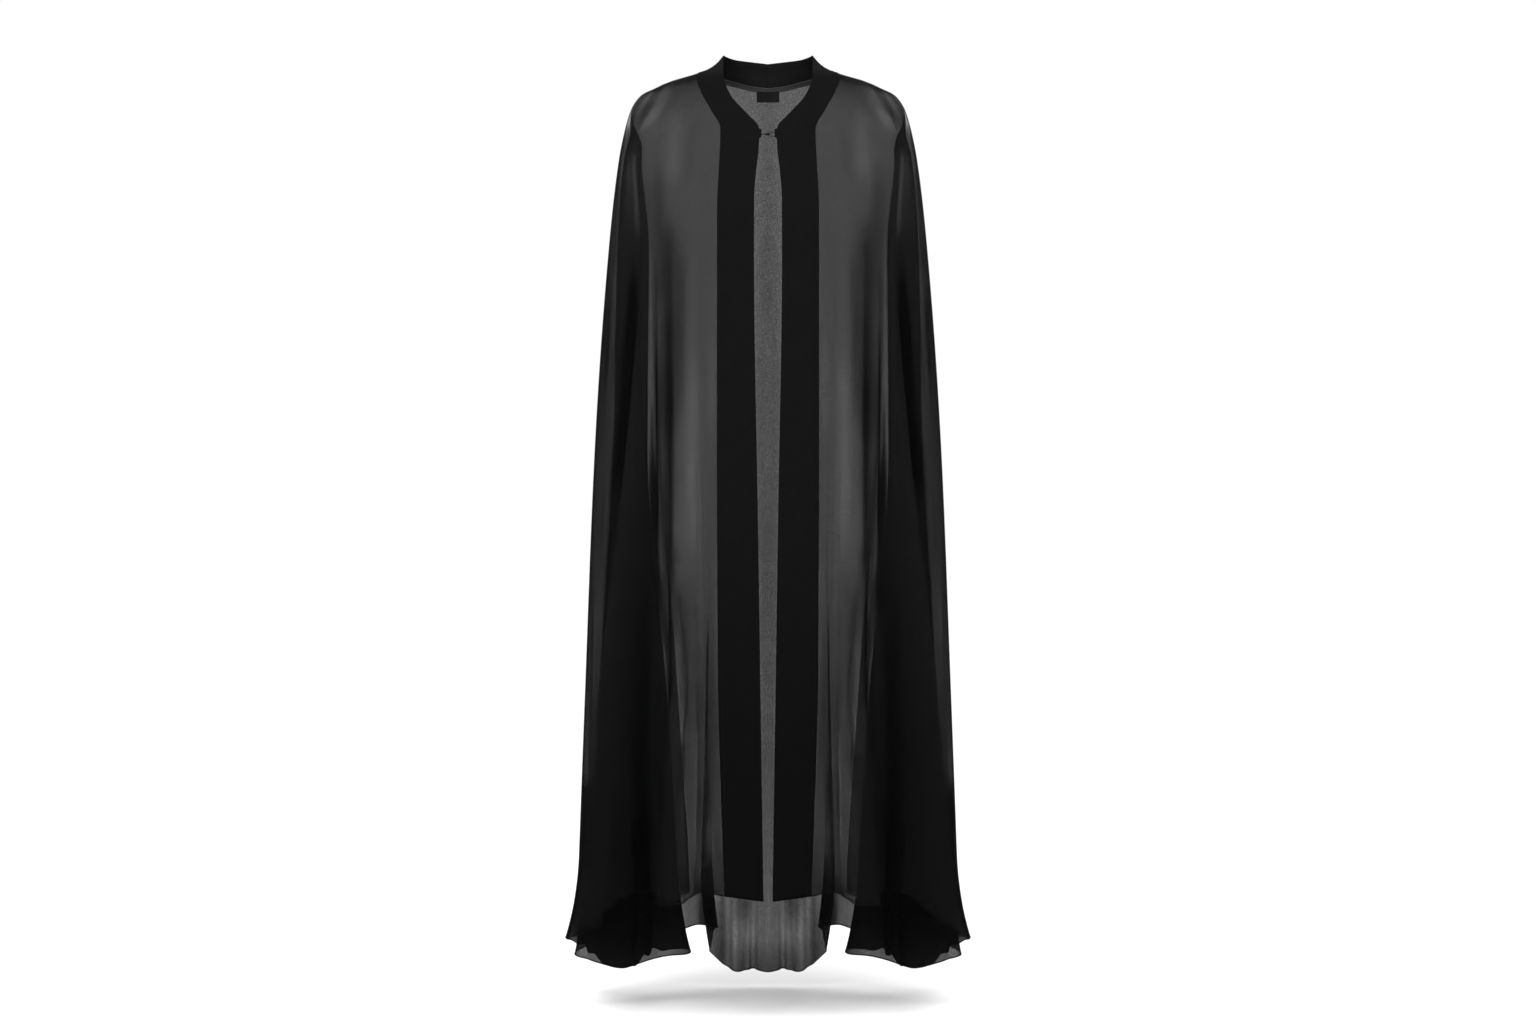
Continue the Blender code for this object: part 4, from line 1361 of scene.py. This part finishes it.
@dataclass(frozen=True)
class FrontBand(Part):
    """One front band with its half of the stand collar, cut in one.

    wall: thickness along its middle.
    thin_side, thin_end: what share of it is left at the long edges and at the hem.
    edge_power: how square the long edges are.
    tuck: how far it reaches over the sheer cloth.
    crown: how far it stands out along its middle.
    neck_bow: how far it bows inwards instead at the neck point.
    bow_behind, bow_before: how far that reaches, in places along the band.
    """
    wall: float = 2.0 * MM
    faces_across: int = 28
    steps: int = 330
    thin_side: float = 0.12
    thin_end: float = 0.35
    edge_power: int = 16
    tuck: float = 0.5 * MM
    crown: float = 1.5 * MM
    neck_bow: float = 6.0 * MM
    bow_behind: float = 0.5
    bow_before: float = 1.8
    ripple: float = 0.5 * MM
    ripple_wave: Wave = Wave(2.9, 1.1, 1.3)
    stitch_inset: float = 6.0 * MM
    stitch_sink: float = 0.02 * MM
    stitch_steps: int = 900
    flat: tuple = (0.066, 1.62)

    def places(self, count: int) -> np.ndarray:
        """Places along the band, -1 at centre back, 0 at the neck point and 17 at the hem.

        Args:
            count: about how many.

        Returns:
            The places, with those where the free edge steps out for the clasp.
        """
        behind = np.linspace(-1, 0, count // 4, endpoint=False)
        down = np.linspace(0, CAD_ROLL_ROWS + CAD_FALL_ROWS, count - len(behind))
        return np.concatenate([behind, np.union1d(down, CLASP_TAB)])

    def edges(self, places: np.ndarray) -> tuple:
        """The edge that is sewn to the sheer cloth, round the neck and down the front, and the free
        edge, the smooth curve through its table.

        Args:
            places: places along the band.

        Returns:
            Both edges' points.
        """
        shares = fall_shares(CAD_ROLL_ROWS, CAD_FALL_ROWS)
        rows = np.interp(places[places >= 0], np.arange(len(shares)), shares)
        front = self.form.surface(rows, np.array([0.0]))
        folds = NECK_LINE - places[places < 0] * (CENTRE_BACK - NECK_LINE)
        neck = self.form.surface(np.array([0.0]), folds)
        table = np.array(BAND_STATIONS)
        free = smooth_through(table[:, 0], table[:, 1:] * CM, places)
        return np.concatenate([neck[0], front[:, 0]]), free

    def grid(self, places: np.ndarray, shares: np.ndarray) -> tuple:
        """Middle points and outward normals. The band is straight from its seam to its free edge
        but for a low crown, half a sine high.

        Args:
            places: places along it.
            shares: shares of the way from the seam to the free edge, one row for each place or one for all.

        Returns:
            Points and normals.
        """
        sewn, free = self.edges(places)
        share = np.broadcast_to(shares, (len(places), shares.shape[-1]))[..., None]
        flat = sewn[:, None] * (1 - share) + free[:, None] * share
        along = unit(np.gradient(sewn, axis=0))
        normals = unit(np.cross(along, unit(free - sewn)))[:, None]
        facing = np.sign(np.sum(normals * flat.mean(1, keepdims=True) * (1, 1, 0), axis=-1, keepdims=True))
        normals = np.broadcast_to(normals * np.where(facing == 0, 1, facing), flat.shape)
        ripple = self.ripple * self.ripple_wave.at(places, places)[:, None, None]
        reach = np.where(places < 0, self.bow_behind, self.bow_before)
        crown = (self.crown - self.neck_bow * np.exp(-((places / reach) ** 2)))[:, None, None]
        rise = crown * np.sin(np.pi * share) + ripple * np.sin(np.pi * share) ** 2
        return flat + normals * rise, normals

    def build(self, side: Side) -> None:
        """Makes the band and its row of stitches. Its wall thins to its edges as a rounded oblong.

        Args:
            side: which half.
        """
        places = self.places(self.steps)
        spread = 0.5 - 0.5 * np.cos(np.linspace(0, np.pi, self.faces_across + 1))
        points, normals = self.grid(places, spread)
        points[:, 0] -= unit(points[:, 1] - points[:, 0]) * self.tuck
        points[0, :, 0] = 0.0
        body = np.clip(1 - np.abs(2 * spread - 1) ** self.edge_power, 0, 1) ** 0.5
        last = np.clip((len(places) - 1 - np.arange(len(places))) / 2.0, 0, 1) ** 0.5
        wall = self.wall * (self.thin_side + (1 - self.thin_side) * body)[None, :]
        wall = wall * (self.thin_end + (1 - self.thin_end) * last)[:, None]
        name = f"band_{side.word}"
        shell = grid_shell(points, normals, wall)
        band = add_piece(f"front_{name}", mirrored(shell, side), self.finishes.crepe, "band", name)
        stitches = mirrored(self.stitches(), side)
        row = add_piece(f"stitches_{name}", stitches, self.finishes.thread, "band")

    def stitches(self) -> MeshData:
        """One row of stitches along the band's seam side, lying on its face.

        Returns:
            The threads' arrays.
        """
        places = self.places(self.stitch_steps)
        sewn, free = self.edges(places)
        width = np.linalg.norm(free - sewn, axis=-1)
        points, normals = self.grid(places, (self.stitch_inset / width)[:, None])
        path = points[:, 0] + normals[:, 0] * (self.wall / 2 - self.stitch_sink)
        return StitchRow().along(path, normals[:, 0])


@dataclass(frozen=True)
class StitchRow:
    """A row of lockstitches, each a short thread that dips at both ends.

    end_power, end_least: how bluntly a thread's radius falls off at its ends.
    arch, sink: how high its middle line rises and how deep it starts, in radii.
    """
    length: float = 2.5 * MM
    gap: float = 0.7 * MM
    radius: float = 0.24 * MM
    sides: int = 6
    rings: int = 5
    end_power: int = 4
    end_least: float = 0.09
    arch: float = 1.6
    sink: float = 0.5

    def along(self, path: np.ndarray, normals: np.ndarray) -> MeshData:
        """Threads at even steps along a path. Each is a tube whose radius is a half circle's, and
        whose middle line is a low arch.

        Args:
            path: points on the cloth.
            normals: the cloth's outward normals there.

        Returns:
            The threads as one mesh.
        """
        run = arc_lengths(path, 0)
        count = int((run[-1] - self.gap) // (self.length + self.gap))
        start = self.gap + np.arange(count) * (self.length + self.gap)
        share = np.linspace(0, 1, self.rings)
        at = start[:, None] + share[None, :] * self.length
        centre = np.stack([np.interp(at, run, path[:, k]) for k in range(3)], axis=-1)
        up = unit(np.stack([np.interp(at, run, normals[:, k]) for k in range(3)], axis=-1))
        way = unit(centre[:, -1] - centre[:, 0])[:, None]
        side = unit(np.cross(way, up))
        thick = self.radius * np.sqrt(np.clip(1 - (2 * share - 1) ** self.end_power, self.end_least, 1))
        lift = self.radius * (self.arch * np.sin(np.pi * share) - self.sink)
        centre = centre + up * lift[None, :, None]
        turn = np.arange(self.sides) * 2 * np.pi / self.sides
        ring = side[:, :, None] * np.cos(turn)[:, None] + up[:, :, None] * np.sin(turn)[:, None]
        points = (centre[:, :, None] + ring * thick[None, :, None, None]).reshape(-1, 3)
        index = np.arange(count * self.rings * self.sides).reshape(count, self.rings, self.sides)
        after = np.roll(index, -1, axis=2)
        walls = np.stack([index[:, :-1], after[:, :-1], after[:, 1:], index[:, 1:]], axis=-1).reshape(-1, 4)
        low, high = index[:, 0], index[:, -1]
        caps = [low[:, [3, 2, 1, 0]], low[:, [5, 4, 3, 0]], high[:, [0, 1, 2, 3]], high[:, [0, 3, 4, 5]]]
        along = np.broadcast_to(at[:, :, None], (count, self.rings, self.sides))
        round_it = np.broadcast_to(turn * self.radius, along.shape)
        uv = np.stack([round_it, along], axis=-1).reshape(-1, 2)
        return MeshData(points, np.concatenate([walls, *caps]), uv, {})


@dataclass(frozen=True)
class NeckFinish(Part):
    """The tape over the back neck seam and the bare label that hangs from it.

    tape_rows: its upper and lower edge, as shares of the way to the hem.
    tape_first: the fold line at its end.
    clear: how far it lies inside the cloth.
    label_clear, label_curl, label_bow: how far the label lies clear of the tape, how far its foot
        curls forward and how far its middle bows.
    """
    tape_wall: float = 0.8 * MM
    tape_rows: tuple = (0.0001, 0.0056)
    tape_first: float = NECK_LINE + 4 / 3
    tape_size: tuple = (7, 46)
    tape_flat: tuple = (0.01, 0.24)
    tape_stitches: StitchRow = StitchRow(length=2.2 * MM, radius=0.2 * MM)
    clear: float = 1.2 * MM
    label_wall: float = 0.6 * MM
    label_top: float = -7.0 * MM
    label_size: tuple = (17, 31)
    label_stitches: StitchRow = StitchRow(length=1.8 * MM, radius=0.16 * MM)
    label_clear: float = 0.3 * MM
    label_curl: float = 1.2 * MM
    label_bow: float = 0.25 * MM

    def build(self) -> None:
        """Makes the tape, its two rows of stitches, the label and its stitched ends."""
        points, inward = self.tape_grid()
        shell = grid_shell(points, -inward, self.tape_wall)
        tape = add_piece("tape_back_neck", shell, self.finishes.tape, "tape", "neck_tape")
        face = points + inward * self.tape_wall / 2
        rows = [self.tape_stitches.along(face[row], inward[row]) for row in (1, -2)]
        stitches = add_piece("stitches_tape", joined(rows), self.finishes.thread, "tape")
        label, forward = self.label_grid(points)
        shell = grid_shell(label, forward, self.label_wall)
        piece = add_piece("label_neck", shell, self.finishes.satin, "label", "label")
        face = label + forward * (self.label_wall / 2)
        ends = [self.label_stitches.along(face[1:-1, end], forward[1:-1, end]) for end in (2, -3)]
        ticks = add_piece("stitches_label", joined(ends), self.finishes.thread, "label")

    def tape_grid(self) -> tuple:
        """The tape's middle surface over both halves: the cloth's, moved inwards.

        Returns:
            Its points and the directions into the neck.
        """
        down, across = self.tape_size
        rows = np.linspace(*self.tape_rows, down)
        folds = np.linspace(self.tape_first, CENTRE_BACK, across)
        cloth = self.form.surface(rows, folds)
        beyond = np.append(folds, folds[-1] + PAST_CENTRE)
        normals = surface_normals(self.form.surface(rows, beyond))[:, :-1]
        into = -np.sign(normals[len(rows) // 2, -1, 1]) * normals
        half = cloth + into * self.clear
        half[:, -1, 0] = 0.0
        into[:, -1, 0] = 0.0
        points = np.concatenate([half[:, :-1] * MIRROR, half[:, ::-1]], axis=1)
        return points, unit(np.concatenate([into[:, :-1] * MIRROR, into[:, ::-1]], axis=1))

    def label_grid(self, tape: np.ndarray) -> tuple:
        """The label's middle surface. It hangs straight down, bent like the tape, and curls forward
        a little at its foot.

        Args:
            tape: the tape's points.

        Returns:
            Its points and the directions that it faces.
        """
        tall, wide = self.label_size
        out = np.linspace(-LABEL_WIDTH / 2, LABEL_WIDTH / 2, wide)
        share = np.linspace(0, 1, tall)
        order = np.argsort(tape[0, :, 0])
        nearest = np.minimum(tape[0, :, 1], tape[-1, :, 1])
        back = np.interp(out, tape[0, order, 0], nearest[order])
        back = back - (self.tape_wall + self.label_wall) / 2 - self.label_clear
        forward = self.label_curl * share**3 + self.label_bow * np.sin(np.pi * share)
        x = np.broadcast_to(out, (tall, wide))
        z = np.broadcast_to((self.label_top - share * LABEL_HEIGHT)[:, None], x.shape)
        points = np.stack([x, back[None, :] - forward[:, None], z], axis=-1)
        face = surface_normals(points)
        return points, face * np.sign(-face[tall // 2, wide // 2, 1])


@dataclass(frozen=True)
class HookAndEye(Part):
    """The fastened hook and eye behind the bands' free edges at the neck.

    wire, bill, plate: half thicknesses of the eye, of the hook and of its flattened middle.
    eye_half: half the eye's width.
    shift: how far the eye's straight legs reach past the middle plane.
    on_band: how far either wire reaches onto its band.
    behind: how far they lie behind the band.
    clearance: the gap between hook and eye.
    flat_from, flat_to, flat_step: where the hook is flattened, and how softly.
    step_from, step_to: where its stem steps forward.
    bend_out, tip: where its half round and its bill's end lie beside the shift.
    thread, thread_in, thread_apart: half a thread's thickness, how far inside the wire's end the
        middle one lies, and how far apart they lie.
    thread_high, thread_deep, thread_sink: half their heights over hook and eye, how far they stand
        off the wire and how deep they start.
    search_steps, search_from: places along the band at which its free edge is looked for.
    """
    height: float = -10.1 * CM
    wire: float = 0.5 * MM
    bill: float = 0.7 * MM
    plate: float = 1.7 * MM
    eye_half: float = 3.2 * MM
    shift: float = 0.4 * MM
    on_band: float = 4.0 * MM
    behind: float = 0.6 * MM
    clearance: float = 0.35 * MM
    flat_from: float = -5.2 * MM
    flat_to: float = 3.4 * MM
    flat_step: float = 2.0 * MM
    step_from: float = 2.0 * MM
    step_to: float = -4.5 * MM
    bend_out: float = 1.6 * MM
    tip: tuple = (-0.6 * MM, -2.2 * MM)
    loop_points: int = 25
    leg_points: int = 8
    bend_points: int = 17
    stem_points: int = 18
    wire_sides: int = 14
    thread: float = 0.28 * MM
    thread_in: float = 1.2 * MM
    thread_apart: float = 1.1 * MM
    thread_high: tuple = (1.5 * MM, 3.0 * MM)
    thread_deep: float = 1.0 * MM
    thread_sink: float = 0.2 * MM
    thread_points: int = 9
    thread_sides: int = 8
    search_steps: int = 600
    search_from: int = 3

    def build(self, band: FrontBand) -> None:
        """Makes both wires and the threads that hold them.

        Args:
            band: the band they are sewn to.
        """
        places = band.places(self.search_steps)
        free = band.grid(places[places > self.search_from], np.array([1.0]))[0][:, 0]
        out, depth = (float(np.interp(-self.height, -free[:, 2], free[:, k])) for k in (0, 1))
        lies = depth + band.wall / 2 + self.behind + self.bill
        root = out + self.on_band
        eye = self.eye_path(root) + (0.0, lies, self.height)
        hook = self.hook_path(root, out) + (0.0, lies, self.height)
        flat = rising((hook[:, 0] - self.flat_from) / self.flat_step)
        flat = flat * rising((self.flat_to - hook[:, 0]) / self.flat_step)
        tall = self.bill + (self.plate - self.bill) * flat
        lacquer = self.finishes.lacquer
        bar = flat_bar(eye, ALONG_Y, self.wire, self.wire, self.wire_sides)
        add_piece("clasp_eye", bar, lacquer, "clasp", "neck_eye")
        bar = flat_bar(hook, ALONG_Z, self.bill, tall, self.wire_sides)
        add_piece("clasp_hook", bar, lacquer, "clasp", "neck_hook")
        ends = (self.thread_in - root, root - self.thread_in)
        apart = (-self.thread_apart, 0.0, self.thread_apart)
        bars = [self.thread_bar(end + offset, lies, high)
                for end, high in zip(ends, self.thread_high) for offset in apart]
        add_piece("stitches_clasp", joined(bars), self.finishes.thread, "clasp")

    def thread_bar(self, x: float, lies: float, high: float) -> MeshData:
        """One thread over a wire's end: a round bar along half an oval.

        Args:
            x: its distance from the middle plane.
            lies: how far behind the neck's base the wires lie.
            high: half the oval's height.

        Returns:
            The bar's arrays.
        """
        turn = np.linspace(0, np.pi, self.thread_points)
        back = lies + self.thread_deep * np.sin(turn) - self.thread_sink
        path = np.stack([x + 0 * turn, back, self.height + high * np.cos(turn)], axis=1)
        return flat_bar(path, ALONG_X, self.thread, self.thread, self.thread_sides)

    def eye_path(self, root: float) -> np.ndarray:
        """A half round with two straight legs that end over the band.

        Args:
            root: where the legs end.

        Returns:
            Points about the clasp's middle.
        """
        turn = np.linspace(-np.pi / 2, np.pi / 2, self.loop_points)
        loop = np.stack([self.shift + self.eye_half * (1 - np.cos(turn)), 0 * turn,
                         self.eye_half * np.sin(turn)], axis=1)
        leg = np.linspace(root, loop[0, 0], self.leg_points)[:-1]
        low = np.stack([leg, 0 * leg, 0 * leg - self.eye_half], axis=1)
        return np.concatenate([low, loop, low[::-1] * (1, 1, -1)])

    def hook_path(self, root: float, out: float) -> np.ndarray:
        """A straight stem, a step forward, and a half round that turns back over the eye.

        Args:
            root: where the stem starts.
            out: the band's free edge.

        Returns:
            Points about the clasp's middle.
        """
        step = self.wire + self.bill + self.clearance
        bend = np.linspace(-np.pi / 2, np.pi / 2, self.bend_points)
        bend_out = self.shift + self.bend_out
        bill = np.stack([bend_out + step * np.cos(bend), step * np.sin(bend), 0 * bend], axis=1)
        x = np.linspace(-root, bend_out, self.stem_points)[:-1]
        step_from = self.step_from - out
        forward = rising((x - step_from) / (self.step_to - step_from))
        stem = np.stack([x, -step * forward, 0 * x], axis=1)
        tip = np.array([(self.shift + place, step, 0.0) for place in self.tip])
        return np.concatenate([stem, bill, tip])


class Lamp(NamedTuple):
    """A square soft lamp: its name, place, size in metres and power in watts."""
    name: str
    place: tuple
    size: float
    power: float

    def build(self, aim: tuple) -> None:
        """Adds the lamp and turns it to what it lights.

        Args:
            aim: the place that it faces.
        """
        data = bpy.data.lights.new(self.name, "AREA")
        data.size = self.size
        data.energy = self.power
        lamp = add_object(self.name, data)
        lamp.location = self.place
        lamp.rotation_mode = "QUATERNION"
        lamp.rotation_quaternion = (Vector(aim) - Vector(self.place)).to_track_quat("-Z", "Y")


@dataclass(frozen=True)
class Studio:
    """Pale floor, soft light and the camera at the picture's angle.

    The camera is level with the garment's middle, 4.5 m in front of it.
    """
    floor: float = -1.545
    floor_half: float = 40.0
    sky: float = 1.0
    sun: float = 0.9
    sun_width: float = 2.4
    lamps: tuple = (Lamp("key", (-1.3, -2.2, 1.5), 1.6, 115.0), Lamp("fill", (1.5, -2.2, 1.4), 1.8, 75.0))
    aim: tuple = (0.0, 0.0, -0.6)
    camera_place: tuple = (0.0, -4.5, -0.716)
    lens: float = 63.5

    def build(self) -> None:
        """Makes the floor, the lights and the camera, and shows colours as they are."""
        half, z = self.floor_half, self.floor
        mesh = bpy.data.meshes.new("floor")
        mesh.from_pydata([(-half, -half, z), (half, -half, z), (half, half, z), (-half, half, z)],
                         [], [(0, 1, 2, 3)])
        mesh.materials.append(PaleFloor().build())
        add_object("floor", mesh)
        self.world()
        for lamp in self.lamps:
            lamp.build(self.aim)
        self.overhead()
        data = bpy.data.cameras.new("camera")
        data.lens = self.lens
        camera = add_object("camera", data)
        camera.location = self.camera_place
        camera.rotation_euler = (np.pi / 2, 0.0, 0.0)
        bpy.context.scene.camera = camera
        bpy.context.scene.view_settings.view_transform = "Standard"

    def world(self) -> None:
        """Even pale light from all round."""
        world = bpy.data.worlds.new("studio")
        world.use_nodes = True
        background = world.node_tree.nodes["Background"]
        background.inputs["Color"].default_value = (1.0, 1.0, 1.0, 1.0)
        background.inputs["Strength"].default_value = self.sky
        bpy.context.scene.world = world

    def overhead(self) -> None:
        """Wide soft light from above that keeps the floor as pale as the background."""
        data = bpy.data.lights.new("overhead", "SUN")
        data.energy = self.sun
        data.angle = self.sun_width
        add_object("overhead", data)


def main() -> None:
    """Builds the garment and the studio."""
    logging.basicConfig(level=logging.INFO, format="%(name)s %(message)s")
    basis = ClothForm(), Finishes.build()
    front = SheerPanel(*basis, "front", 0, ARM_SEAM, density=0.72, flat=(0.60, 1.44), area=0.50,
                       rests_on="band")
    back = SheerPanel(*basis, "back", ARM_SEAM, CENTRE_BACK, density=2.25, flat=(0.95, 1.53), area=0.80,
                      rests_on="band")
    band = FrontBand(*basis)
    for side in Side:
        for part in (front, back, band):
            part.build(side)
    FelledSeams(*basis).build()
    NeckFinish(*basis).build()
    HookAndEye(*basis).build(band)
    Studio().build()


if __name__ == "__main__":
    main()
